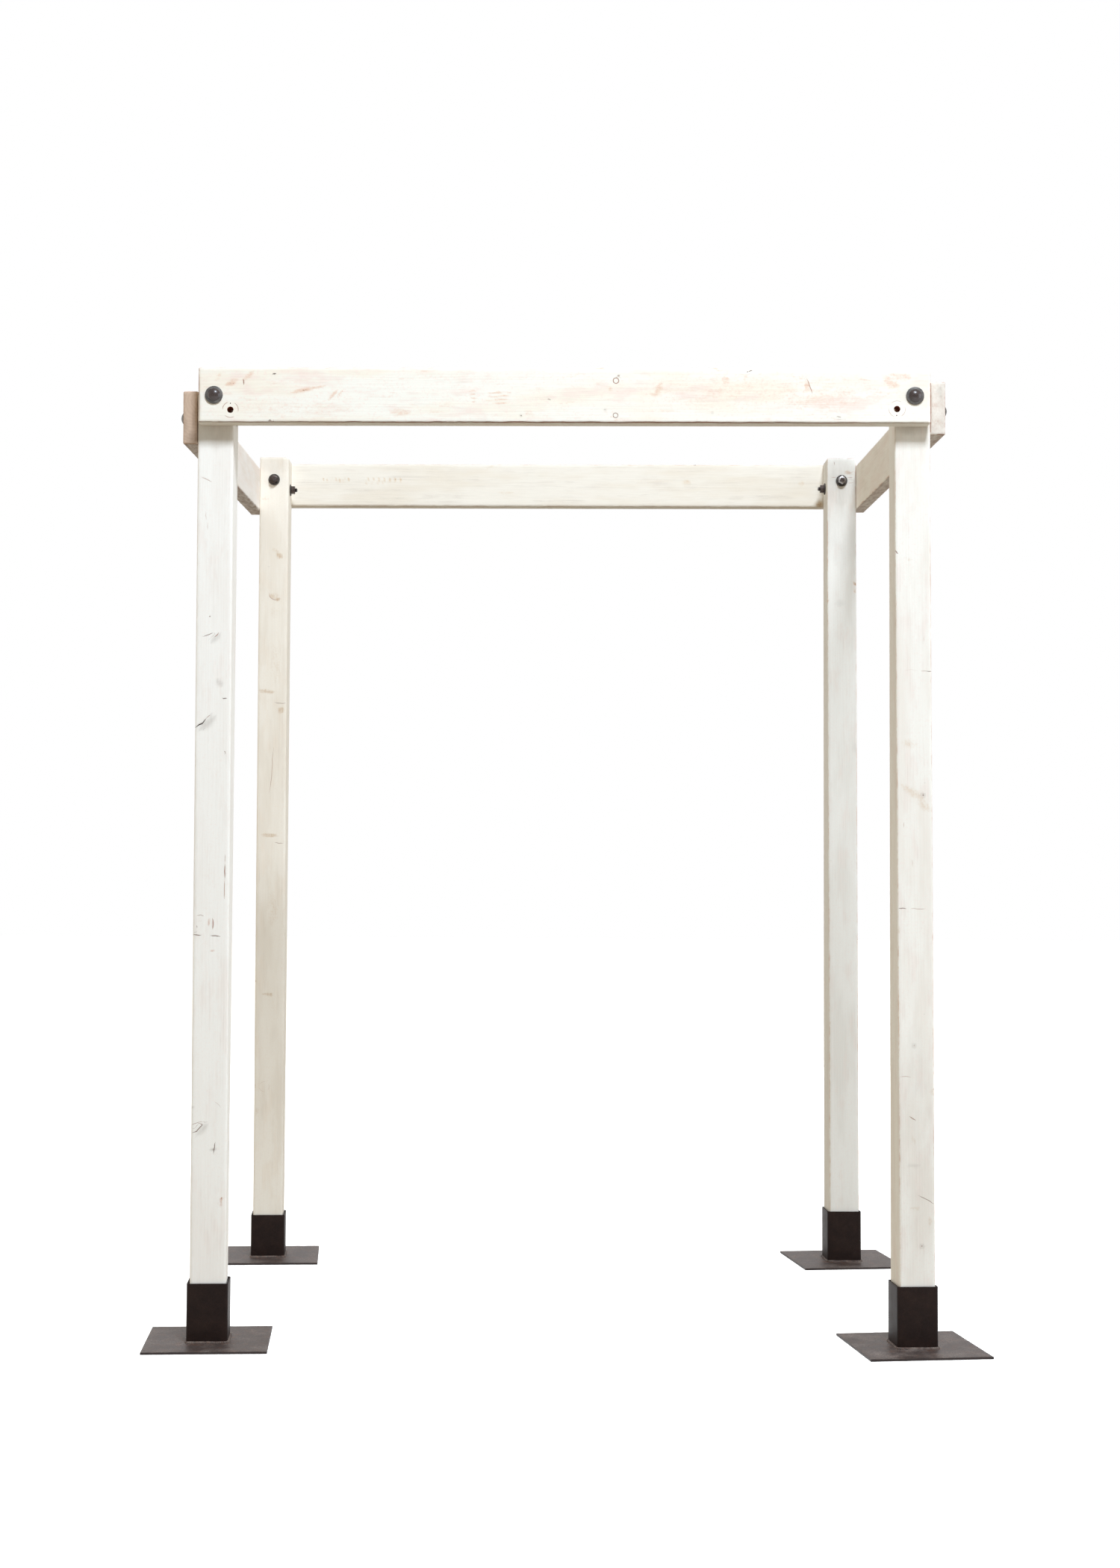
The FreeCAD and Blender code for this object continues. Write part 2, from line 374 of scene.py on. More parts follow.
@dataclass(frozen=True)
class Steel:
    """Mill-finished steel with scale, rust and dust."""

    name: str
    scale: Colour
    worn: Colour
    rust: Colour = srgb(112, 78, 60)
    dust: Colour = srgb(168, 158, 150)
    edge: Colour = srgb(40, 31, 31)
    rust_share: float = 0.3
    dust_share: float = 0.2
    metallic: float = 0.3
    roughness: float = 0.5
    sheen: float = 0.3
    cells: float = 16.0
    grit: float = 0.35

    PATCH_FINER = 2.7
    SPECK_FINER = 15.0
    GRAIN_CELLS = 260.0
    SPATTER_CELLS = 300.0
    RELIEF = 0.5 * MM

    def dress(self) -> Material:
        """Builds the finish.

        Returns:
            The material.
        """
        material, graph = new_material(self.name)
        place = graph.node("ShaderNodeTexCoord", None, None, "Object")
        cloud = graph.noise(place, even(self.cells), 5.0)
        patch = graph.noise(place, even(self.PATCH_FINER * self.cells), 4.0)
        speck = graph.noise(place, even(self.SPECK_FINER * self.cells), 3.0)
        heat, edge, _ = graph.split(graph.attribute(STEEL, "Vector"))

        colour = graph.mix(cloud.rise(0.35, 0.68), self.scale, self.worn)
        rusty = (heat + self.rust_share) * (patch * 0.6 + speck * 0.4).rise(0.46, 0.66)
        colour = graph.mix(rusty, colour, self.rust)
        dusty = (heat * 0.5 + self.dust_share) * (cloud * 0.5 + speck * 0.5).rise(0.52, 0.68)
        colour = graph.mix(dusty, colour, self.dust)
        grain = graph.noise(place, even(self.GRAIN_CELLS), 4.0, 0.75)
        colour = graph.mix(grain.rise(0.4, 0.62) * self.grit, colour, self.edge)
        spatter = graph.noise(place, even(self.SPATTER_CELLS), 2.0).rise(0.60, 0.68) * heat
        colour = graph.mix(spatter * 0.8, colour, self.dust)
        colour = graph.mix(edge, colour, self.edge)
        height = speck * 0.5 + patch * 0.5
        relief = {"Strength": 0.35, "Distance": self.RELIEF, "Height": height}
        rough = self.roughness + (cloud - 0.5) * 0.25 + dusty * 0.3
        graph.surface({"Base Color": colour, "Roughness": rough, "Metallic": self.metallic,
                       "Specular IOR Level": self.sheen,
                       "Normal": graph.node("ShaderNodeBump", None, relief)})
        return material


class Bench:
    """Modelling moves that the pieces share."""

    SHARP = math.radians(45)
    ALIGNED = 0.999

    @staticmethod
    def take(*objects: Piece) -> None:
        """Selects these objects alone and makes the first one active.

        Args:
            objects: What to select.
        """
        bpy.ops.object.select_all(action="DESELECT")
        for piece in objects:
            piece.select_set(True)
        bpy.context.view_layer.objects.active = objects[0]

    @staticmethod
    @contextmanager
    def editing(piece: Piece, mode: str = "EDGE") -> Iterator[bmesh.types.BMesh]:
        """Opens a piece in edit mode with nothing selected.

        Args:
            piece: The object to edit.
            mode: What is selected: VERT, EDGE or FACE.

        Yields:
            The mesh being edited.
        """
        Bench.take(piece)
        bpy.ops.object.mode_set(mode="EDIT")
        bpy.ops.mesh.select_mode(type=mode)
        bpy.ops.mesh.select_all(action="DESELECT")
        yield bmesh.from_edit_mesh(piece.data)
        bpy.ops.object.mode_set(mode="OBJECT")

    @staticmethod
    def named(name: str) -> Piece:
        """Names the piece that was just added.

        Args:
            name: The name of the piece and of its mesh.

        Returns:
            The piece.
        """
        piece = bpy.context.object
        piece.name = name
        piece.data.name = name
        return piece

    @staticmethod
    def add(name: str, shape: str, **settings: float) -> Piece:
        """Adds a plain shape about the origin.

        Args:
            name: The piece's name.
            shape: The shape: cube, plane, grid or cylinder.
            settings: Its sizes and divisions.

        Returns:
            The piece.
        """
        bpy.ops.object.select_all(action="DESELECT")
        getattr(bpy.ops.mesh, f"primitive_{shape}_add")(**settings)
        return Bench.named(name)

    @staticmethod
    def block(name: str, size: Triple) -> Piece:
        """A block about the origin.

        Args:
            name: The piece's name.
            size: Its length along each axis.

        Returns:
            The block.
        """
        piece = Bench.add(name, "cube", size=1.0)
        piece.scale = size
        bpy.ops.object.transform_apply(location=False, rotation=False, scale=True)
        return piece

    @staticmethod
    def runs_along(edge: bmesh.types.BMEdge, axis: int) -> bool:
        """Whether an edge lies along an axis."""
        span = edge.verts[1].co - edge.verts[0].co
        return abs(span[axis]) > Bench.ALIGNED * span.length

    @staticmethod
    def ease(piece: Piece, width: float, segments: int, axis: int | None = None) -> None:
        """Rounds a block's edges.

        Args:
            piece: The block.
            width: How far the rounding reaches.
            segments: Facets of the rounding.
            axis: Rounds only the edges along this axis, where given.
        """
        with Bench.editing(piece) as mesh:
            for edge in mesh.edges:
                along = axis is None or Bench.runs_along(edge, axis)
                edge.select_set(along and edge.calc_face_angle(0.0) > Bench.SHARP)
            bpy.ops.mesh.bevel(offset=width, segments=segments, affect="EDGES")

    @staticmethod
    def divide(piece: Piece, axis: int, cuts: int) -> None:
        """Cuts every straight edge along an axis into equal parts.

        Args:
            piece: The object to cut.
            axis: The axis that the edges run along.
            cuts: Cuts in each edge.
        """
        with Bench.editing(piece) as mesh:
            for edge in mesh.edges:
                edge.select_set(Bench.runs_along(edge, axis))
            bpy.ops.mesh.subdivide(number_cuts=cuts)

    @staticmethod
    def apply(piece: Piece, kind: str, **settings: object) -> None:
        """Adds a modifier and applies it.

        Args:
            piece: The object to change.
            kind: The modifier's type.
            settings: Its properties.
        """
        Bench.take(piece)
        modifier = piece.modifiers.new(kind.title(), kind)
        for key, setting in settings.items():
            setattr(modifier, key, setting)
        bpy.ops.object.modifier_apply(modifier=modifier.name)

    @staticmethod
    def join(name: str, *pieces: Piece) -> Piece:
        """Joins pieces into the first one.

        Args:
            name: Name of the joined piece.
            pieces: What is joined.

        Returns:
            The joined piece.
        """
        Bench.take(*pieces)
        if len(pieces) > 1:
            bpy.ops.object.join()
        return Bench.named(name)

    @staticmethod
    def copy(piece: Piece) -> Piece:
        """Copies a piece.

        Args:
            piece: The piece to copy.

        Returns:
            The copy, with a mesh of its own.
        """
        Bench.take(piece)
        bpy.ops.object.duplicate(linked=False)
        return bpy.context.object

    @staticmethod
    def move(piece: Piece, place: Matrix) -> None:
        """Moves a piece and leaves the move in its mesh.

        Args:
            piece: The piece to move.
            place: Where its origin goes and how it turns.
        """
        piece.matrix_world = place
        Bench.take(piece)
        bpy.ops.object.transform_apply(location=True, rotation=True, scale=True)

    @staticmethod
    def subtract(piece: Piece, cutters: list[Piece]) -> None:
        """Cuts shapes out of a piece.

        Args:
            piece: The object to cut.
            cutters: Closed shapes, which are used up.
        """
        cutter = Bench.join("cutter", *cutters)
        Bench.apply(piece, "BOOLEAN", operation="DIFFERENCE", object=cutter, solver="MANIFOLD",
                    material_mode="TRANSFER")
        bpy.data.objects.remove(cutter)

    @staticmethod
    def wire(name: str, outline: list[tuple[float, float]]) -> Piece:
        """A line beside the Z axis.

        Args:
            name: The piece's name.
            outline: Points as radius and height.

        Returns:
            The line.
        """
        piece = Bench.add(name, "plane", size=MM)
        with Bench.editing(piece, "VERT"):
            bpy.ops.mesh.select_all(action="SELECT")
            bpy.ops.mesh.merge(type="CENTER")
            bpy.ops.transform.translate(value=(outline[0][0], 0.0, outline[0][1]))
            for (radius, height), (next_radius, next_height) in zip(outline, outline[1:]):
                step = (next_radius - radius, 0.0, next_height - height)
                bpy.ops.mesh.extrude_vertices_move(TRANSFORM_OT_translate={"value": step})
        return piece

    @staticmethod
    def turned(name: str, outline: list[tuple[float, float]], steps: int = 48) -> Piece:
        """Turns an outline about Z.

        Args:
            name: The piece's name.
            outline: Points as radius and height.
            steps: Facets of a full turn.

        Returns:
            The turned piece.
        """
        piece = Bench.wire(name, outline)
        with Bench.editing(piece, "VERT"):
            bpy.ops.mesh.select_all(action="SELECT")
            bpy.ops.mesh.spin(steps=steps, angle=math.tau, center=(0, 0, 0), axis=(0, 0, 1))
        Bench.close(piece)
        return piece

    @staticmethod
    def close(piece: Piece) -> None:
        """Merges doubles and turns the faces outwards.

        Args:
            piece: The piece to close.
        """
        with Bench.editing(piece, "VERT"):
            bpy.ops.mesh.select_all(action="SELECT")
            bpy.ops.mesh.remove_doubles(threshold=NEAR)
            bpy.ops.mesh.normals_make_consistent(inside=False)

    @staticmethod
    def places(piece: Piece) -> Array:
        """Reads the places of a piece's vertices.

        Args:
            piece: The piece to read.

        Returns:
            One row of coordinates per vertex.
        """
        flat = np.empty(3 * len(piece.data.vertices), np.float32)
        piece.data.vertices.foreach_get("co", flat)
        return flat.reshape(-1, 3).astype(float)

    @staticmethod
    def store(piece: Piece, name: str, rows: Array) -> None:
        """Stores one vector per vertex as an attribute."""
        attribute = piece.data.attributes.new(name, "FLOAT_VECTOR", "POINT")
        attribute.data.foreach_set("vector", rows.astype(np.float32).ravel())

    @staticmethod
    def group(piece: Piece, name: str, weights: Array) -> None:
        """Makes a vertex group.

        Args:
            piece: The piece that gets it.
            name: The group's name.
            weights: One weight per vertex.
        """
        made = piece.vertex_groups.new(name=name)
        levels = np.round(weights, 1)
        for level in np.unique(levels):
            members = np.flatnonzero(levels == level)
            made.add(members.tolist(), float(level), "REPLACE")

    @staticmethod
    def roughen(piece: Piece, group: str, depth: float, cell: float) -> None:
        """Wears a group of vertices back from the surface, unevenly.

        Args:
            piece: The object to wear.
            group: The vertices that wear.
            depth: The deepest loss.
            cell: Size of the unevenness.
        """
        texture = bpy.data.textures.new(group, "CLOUDS")
        texture.noise_scale = cell
        texture.noise_depth = 3
        Bench.apply(piece, "DISPLACE", texture=texture, texture_coords="LOCAL", vertex_group=group,
                    strength=depth, mid_level=1.0)

    @staticmethod
    def finish(piece: Piece, body: str, slot: str, nodes: list[str],
               materials: list[Material], smooth_deg: float = 38.0) -> None:
        """Shades a piece, gives it its finish and ties it to the frame.

        Args:
            piece: The finished mesh.
            body: The body that it rides on.
            slot: The record's material slot; not used.
            nodes: The nodes that it stands for.
            materials: Its finish, or none where it has its own.
            smooth_deg: Edges sharper than this stay sharp.
        """
        Bench.take(piece)
        bpy.ops.object.shade_smooth_by_angle(angle=math.radians(smooth_deg))
        for material in materials:
            piece.data.materials.append(material)
        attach(piece, body)
        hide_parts(*nodes)
        LOG.info("%s: %d faces, rides %s", piece.name, len(piece.data.polygons), body)


class Face(Enum):
    """Faces of a timber that lies along its own X, as axis and side."""

    START = (0, -1)
    END = (0, 1)
    FRONT = (1, -1)
    BACK = (1, 1)
    BOTTOM = (2, -1)
    TOP = (2, 1)


class Coat(Enum):
    """What a smear does to the coat."""

    WEAR = 0
    # Darkens the coat: real dirt, and also painted shade and shadow where a mark paints them.
    STAIN = 1


@dataclass(frozen=True)
class Smear:
    """A soft patch on one face, worn thin unless its coat says otherwise. Millimetres and degrees."""

    along: float
    across: float
    long: float
    wide: float
    strength: float = 0.5
    turn: float = 0.0
    coat: Coat = Coat.WEAR
    face: Face = Face.FRONT

    BELLY = 1.1

    def strength_at(self, along: Array, across: Array) -> Array:
        """How strong the patch is at points of its face.

        Args:
            along: The points' places along the timber.
            across: The points' places across the face.

        Returns:
            Strengths from 0 to 1.
        """
        turn = math.radians(self.turn)
        run, rise = along - self.along, across - self.across
        first = (run * math.cos(turn) + rise * math.sin(turn)) / (0.5 * self.long)
        second = (rise * math.cos(turn) - run * math.sin(turn)) / (0.5 * self.wide)
        belly = self.BELLY - np.minimum(first ** 2, 1.0)
        return self.strength * np.exp(-first ** 4 - (second / belly) ** 2)


@dataclass(frozen=True)
class SoilAndShade(Smear):
    """A soft darkened patch: soiled in some places, painted shade in others."""

    coat: Coat = Coat.STAIN


@dataclass(frozen=True)
class CrackAndShadowLine:
    """A line through a few points of one face: drying cracks and scratches, and also painted shadow lines
    along gaps between parts and on arrises. Millimetres.

    A tone of 0 gives the darkest line, as in cracks, 1 a brown line, as in scratches, and towards 2 the
    line fades; painted shadow lines use the same tones.
    """

    points: tuple[tuple[float, float], ...]
    width: float = 1.4
    tone: float = 0.0
    face: Face = Face.FRONT
    stray: float = 0.08

    REACH = 14.0
    OVERRUN = 1.0
    TAPER = 0.35
    TIP_SHARE = 0.25

    def trace(self, along: Array, across: Array) -> tuple[Array, Array]:
        """Places points against the crack.

        Args:
            along: The points' places along the timber.
            across: The points' places across the face.

        Returns:
            The signed distance from the crack, and the crack's half width there.
        """
        line = self.wander()
        lengths = np.hypot(*np.diff(line, axis=0).T)
        run = np.concatenate(([0.0], np.cumsum(lengths)))
        offset = np.full(along.shape, FAR)
        station = np.zeros(along.shape)
        for start, end, begun, length in zip(line, line[1:], run, lengths):
            way = (end - start) / length
            share = (along - start[0]) * way[0] + (across - start[1]) * way[1]
            side = (across - start[1]) * way[0] - (along - start[0]) * way[1]
            past = np.maximum(np.maximum(-share, share - length), 0.0)
            nearer = np.hypot(side, past) < np.abs(offset)
            offset = np.where(nearer, np.where(side < 0, -1.0, 1.0) * np.hypot(side, past), offset)
            station = np.where(nearer, begun + share, station)
        from_tip = np.minimum(station, run[-1] - station)
        taper = np.clip(from_tip / (self.TAPER * run[-1]) + self.TIP_SHARE, 0.0, 1.0)
        inside = (from_tip > -self.OVERRUN) & (np.abs(offset) < self.REACH)
        return offset, np.where(inside, 0.5 * self.width * taper, 0.0)

    def wander(self) -> Array:
        """The crack's points with uneven ones put between them.

        Returns:
            The points as rows.
        """
        line = np.array(self.points, float)
        chance = np.random.default_rng(int(abs(line).sum()))
        for _ in range(2):
            steps = np.diff(line, axis=0)
            sideways = np.column_stack([-steps[:, 1], steps[:, 0]])
            strays = chance.uniform(-self.stray, self.stray, (len(steps), 1))
            between = line[:-1] + 0.5 * steps + sideways * strays
            line = np.insert(line, range(1, len(line)), between, axis=0)
        return line


@dataclass(frozen=True)
class Ring:
    """The outline of a knot that shows through the coat. Millimetres."""

    along: float
    across: float
    radius: float
    width: float = 1.0
    tone: float = 0.8
    face: Face = Face.FRONT

    REACH = 9.0
    BROKEN_FROM = 12.0

    def trace(self, along: Array, across: Array) -> tuple[Array, Array]:
        """Places points against the ring.

        Args:
            along: The points' places along the timber.
            across: The points' places across the face.

        Returns:
            The signed distance from the ring, and its half width there.
        """
        run, rise = along - self.along, across - self.across
        offset = np.hypot(run, rise) - self.radius
        broken = np.clip(0.65 + np.sin(3.0 * np.arctan2(rise, run) + self.along), 0.0, 1.0)
        share = broken if self.radius > self.BROKEN_FROM else 1.0
        return offset, np.where(np.abs(offset) < self.REACH, 0.5 * self.width * share, 0.0)


@dataclass(frozen=True)
class Bore:
    """A round hole square to a face. Millimetres, and no depth means right through."""

    along: float
    across: float
    radius: float
    depth: float | None = None
    face: Face = Face.FRONT


Mark = Union[Smear, CrackAndShadowLine, Ring]


@dataclass
class Timber:
    """One length of sawn softwood, modelled along its own X and then put in its place."""

    name: str
    node: str
    slot: str
    size: Triple
    place: Matrix
    finish: Whitewash
    ease: float = 3.0 * MM
    marks: list[Mark] = field(default_factory=list)
    bores: list[Bore] = field(default_factory=list)
    worn_faces: dict[Face, float] = field(default_factory=dict)
    soiled_faces: dict[Face, float] = field(default_factory=dict)
    datum: float = 0.0
    sense: float = 1.0
    pitch: tuple[float, float] = (6.0, 5.5)
    arris_loss: float = 1.1 * MM
    wane: float = 0.0
    twist: float = 0.0
    twist_start: float = 0.12
    blunt: tuple[tuple[Face, Face, float], ...] = ()

    ARRIS_REACH = 7.0
    ARRIS_CELL = 18.0 * MM
    ARRIS_FADE = (2.0, 0.6)
    WANE_CELL = 55.0 * MM
    WANE_FADE = (1.6, 0.3)
    FACE_DEPTH = 3.0
    EASE_FACETS = 3
    CORNER_FACETS = 4
    BOLT_HOLE_R = 7.15
    HOLE_FACETS = 40
    OVERCUT = 2.0 * MM
    SCAR_STEP = 150.0
    SCAR_SPAN = (0.04, 0.96)
    SCAR_STRAY = 40.0
    SCAR_MARGIN = 6.0
    KNOT_CHANCE = 0.45
    NICK_CHANCE = 0.6

    def scar(self, *faces: Face) -> "Timber":
        """Adds knots, nicks and rubbed places to faces that have no marks of their own.

        Args:
            faces: The faces, all of them along the timber.

        Returns:
            The timber itself.
        """
        chance = np.random.default_rng(sum(self.name.encode()))
        first, last = self.SCAR_SPAN
        for face in faces:
            half = 0.5 * self.size[3 - face.value[0]] / MM - self.SCAR_MARGIN
            for station in np.arange(first, last, self.SCAR_STEP * MM / self.size[0]):
                along = self.datum + self.sense * (station - 0.5) * self.size[0] / MM
                along += chance.uniform(-self.SCAR_STRAY, self.SCAR_STRAY)
                across, turn = chance.uniform(-half, half), chance.uniform(-80, 80)
                long, wide = chance.uniform(20, 70), chance.uniform(8, 22)
                strength = chance.uniform(0.25, 0.6)
                self.marks.append(Smear(along, across, long, wide, strength, turn, face=face))
                if chance.random() < self.KNOT_CHANCE:
                    radius = chance.uniform(0.8, 6.0)
                    self.marks.append(Ring(along + 45, -0.5 * across, radius, 1.4, 0.7, face))
                elif chance.random() < self.NICK_CHANCE:
                    ends = ((along + 40, -across), (along + 52, -0.7 * across), (along + 70, -0.6 * across))
                    self.marks.append(CrackAndShadowLine(ends, 1.2, chance.uniform(0.3, 1.3), face))
        return self

    def build(self) -> None:
        """Models, wears and dresses the timber."""
        piece = self.rough_out()
        self.drill(piece)
        self.weather(piece)
        self.wind(piece)
        Bench.move(piece, self.place)
        Bench.roughen(piece, "arris", self.arris_loss, self.ARRIS_CELL)
        if self.wane:
            Bench.roughen(piece, "wane", self.wane, self.WANE_CELL)
        Bench.finish(piece, FRAME_BODY, self.slot, [self.node], [])

    def rough_out(self) -> Piece:
        """Eases a block's edges and divides its faces.

        Returns:
            The block.
        """
        piece = Bench.block(self.name, self.size)
        for end, side, radius in self.blunt:
            self.round_corner(piece, end, side, radius)
        Bench.ease(piece, self.ease, self.EASE_FACETS)
        along, across = (pitch * MM for pitch in self.pitch)
        for axis in (1, 2):
            Bench.divide(piece, axis, max(1, round(self.size[axis] / across) - 1))
        stretches = math.ceil(math.sqrt(self.size[0] / along))
        for _ in range(2):
            Bench.divide(piece, 0, stretches - 1)
        return piece

    def round_corner(self, piece: Piece, end: Face, side: Face, radius: float) -> None:
        """Rounds the edge where an end meets a side.

        Args:
            piece: The block.
            end: The end.
            side: The side.
            radius: The rounding.
        """
        with Bench.editing(piece) as mesh:
            for edge in mesh.edges:
                met = [all(way * vertex.co[axis] > 0.49 * self.size[axis] for vertex in edge.verts)
                       for axis, way in (end.value, side.value)]
                edge.select_set(all(met))
            bpy.ops.mesh.bevel(offset=radius, segments=self.CORNER_FACETS, affect="EDGES")

    def drill(self, piece: Piece) -> None:
        """Coats the timber and cuts its holes.

        Args:
            piece: The timber's mesh.
        """
        coat, bored = self.finish.dress(), BoredWood().dress()
        piece.data.materials.append(coat)
        cutters = [self.cutter(bore) for bore in self.bores]
        for cutter in cutters:
            cutter.data.materials.append(bored)
        Bench.subtract(piece, cutters)

    def pierce(self, seat: Matrix, long: float) -> None:
        """Adds the hole of a bolt that passes through the timber.

        Args:
            seat: The bolt's apex, with local Z along the bolt.
            long: The bolt's length.
        """
        local = self.place.inverted() @ seat
        apex, way = local.translation, local.to_3x3().col[2]
        axis = max((1, 2), key=lambda index: abs(way[index]))
        half = [0.5 * side for side in self.size]
        near, far = sorted((apex[axis], apex[axis] + way[axis] * long))
        crossed = near < half[axis] and far > -half[axis]
        if crossed and all(abs(apex[index]) < half[index] for index in (0, 3 - axis)):
            along = self.datum + self.sense * apex.x / MM
            face = Face.FRONT if axis == 1 else Face.TOP
            self.bores.append(Bore(along, apex[3 - axis] / MM, self.BOLT_HOLE_R, None, face))

    def cutter(self, bore: Bore) -> Piece:
        """A rod that cuts one hole.

        Args:
            bore: The hole.

        Returns:
            The rod, in place.
        """
        axis, side = bore.face.value
        half = 0.5 * self.size[axis]
        depth = 2.2 * half if bore.depth is None else bore.depth * MM
        rod = Bench.add("rod", "cylinder", vertices=self.HOLE_FACETS, radius=bore.radius * MM,
                        depth=depth + 2 * self.OVERCUT)
        centre = Vector((self.sense * (bore.along - self.datum) * MM, 0.0, 0.0))
        centre[3 - axis] = bore.across * MM
        centre[axis] = side * (half + self.OVERCUT - 0.5 * depth)
        turn = Matrix.Rotation(math.pi / 2, 4, "X") if axis == 1 else Matrix.Identity(4)
        Bench.move(rod, Matrix.Translation(centre) @ turn)
        return rod

    def weather(self, piece: Piece) -> None:
        """Works out the coat's wear, dirt and painted shade, and its cracks, scratches and painted shadow
        lines, at each vertex.

        Args:
            piece: The timber's mesh, along X about the origin.
        """
        places = Bench.places(piece)
        rule = places / MM
        half = 0.5 * np.array(self.size) / MM
        gaps = half - np.abs(rule)
        arris = np.clip(1.0 - np.sort(gaps, axis=1)[:, 1] / self.ARRIS_REACH, 0.0, 1.0)
        along = self.datum + self.sense * rule[:, 0]
        coat = np.zeros((len(rule), 3))
        crack_and_shadow_lines = np.zeros((len(rule), 3))
        crack_and_shadow_lines[:, 0] = FAR
        coat[:, 2] = arris
        levels = {Coat.WEAR: self.worn_faces, Coat.STAIN: self.soiled_faces}
        for kind, faces in levels.items():
            for face, level in faces.items():
                coat[self.on_face(rule, half, face), kind.value] = level
        for mark in self.marks:
            on = self.on_face(rule, half, mark.face)
            axis, _ = mark.face.value
            run, across = (along, rule[:, 3 - axis]) if axis else (rule[:, 1], rule[:, 2])
            if isinstance(mark, Smear):
                channel = coat[:, mark.coat.value]
                channel[on] = np.maximum(channel[on], mark.strength_at(run[on], across[on]))
            else:
                offset, width = mark.trace(run, across)
                nearer = on & (np.abs(offset) < np.abs(crack_and_shadow_lines[:, 0]))
                crack_and_shadow_lines[nearer, 0] = offset[nearer]
                crack_and_shadow_lines[nearer, 1] = width[nearer]
                crack_and_shadow_lines[nearer, 2] = mark.tone
        Bench.store(piece, LUMBER, places)
        Bench.store(piece, COAT, coat)
        Bench.store(piece, CRACK_AND_SHADOW_LINES, crack_and_shadow_lines)
        low_front = (rule[:, 1] < 0) & (rule[:, 2] < 0)
        for group, (gain, start), where in (("arris", self.ARRIS_FADE, True),
                                            ("wane", self.WANE_FADE, low_front)):
            Bench.group(piece, group, np.where(where, np.clip(gain * arris - start, 0.0, 1.0), 0.0))

    def on_face(self, rule: Array, half: Array, face: Face) -> Array:
        """Which of the places lie on a face, where half is half the timber's size. Millimetres."""
        axis, side = face.value
        return side * rule[:, axis] > half[axis] - self.FACE_DEPTH

    def wind(self, piece: Piece) -> None:
        """Twists the timber towards its far end, as it dried.

        Args:
            piece: The timber's mesh.
        """
        if not self.twist:
            return
        start = (self.twist_start - 0.5) * self.size[0]
        Bench.move(piece, Matrix.Translation((-start, 0.0, 0.0)))
        Bench.apply(piece, "SIMPLE_DEFORM", deform_method="TWIST", deform_axis="X",
                    angle=math.radians(self.twist), limits=(self.twist_start, 1.0))
        Bench.move(piece, Matrix.Translation((start, 0.0, 0.0)))


@dataclass(frozen=True)
class BoltSizes:
    """Sizes of a carriage bolt with its washers and nut."""

    dome_r: float = 15.6 * MM
    dome_high: float = 8.0 * MM
    dome_land: float = 0.9 * MM
    dome_edge: float = 0.3 * MM
    shank_r: float = 6.35 * MM
    core_r: float = 5.35 * MM
    neck_side: float = 12.6 * MM
    neck_long: float = 7.0 * MM
    thread_long: float = 38.0 * MM
    thread_sink: float = 0.1 * MM
    pitch: float = 1.95 * MM
    tip: float = 1.2 * MM
    head_washer: tuple[float, float] = (22.2 * MM, 8.75 * MM)
    nut_washer: tuple[float, float] = (17.45 * MM, 7.15 * MM)
    washer_edge: float = 0.5 * MM
    nut_flats: float = 22.225 * MM
    nut_chamfer: float = 1.3 * MM
    nut_face_inset: float = 0.5 * MM
    nut_clear: float = 0.5 * MM
    nut_over: float = 0.2 * MM


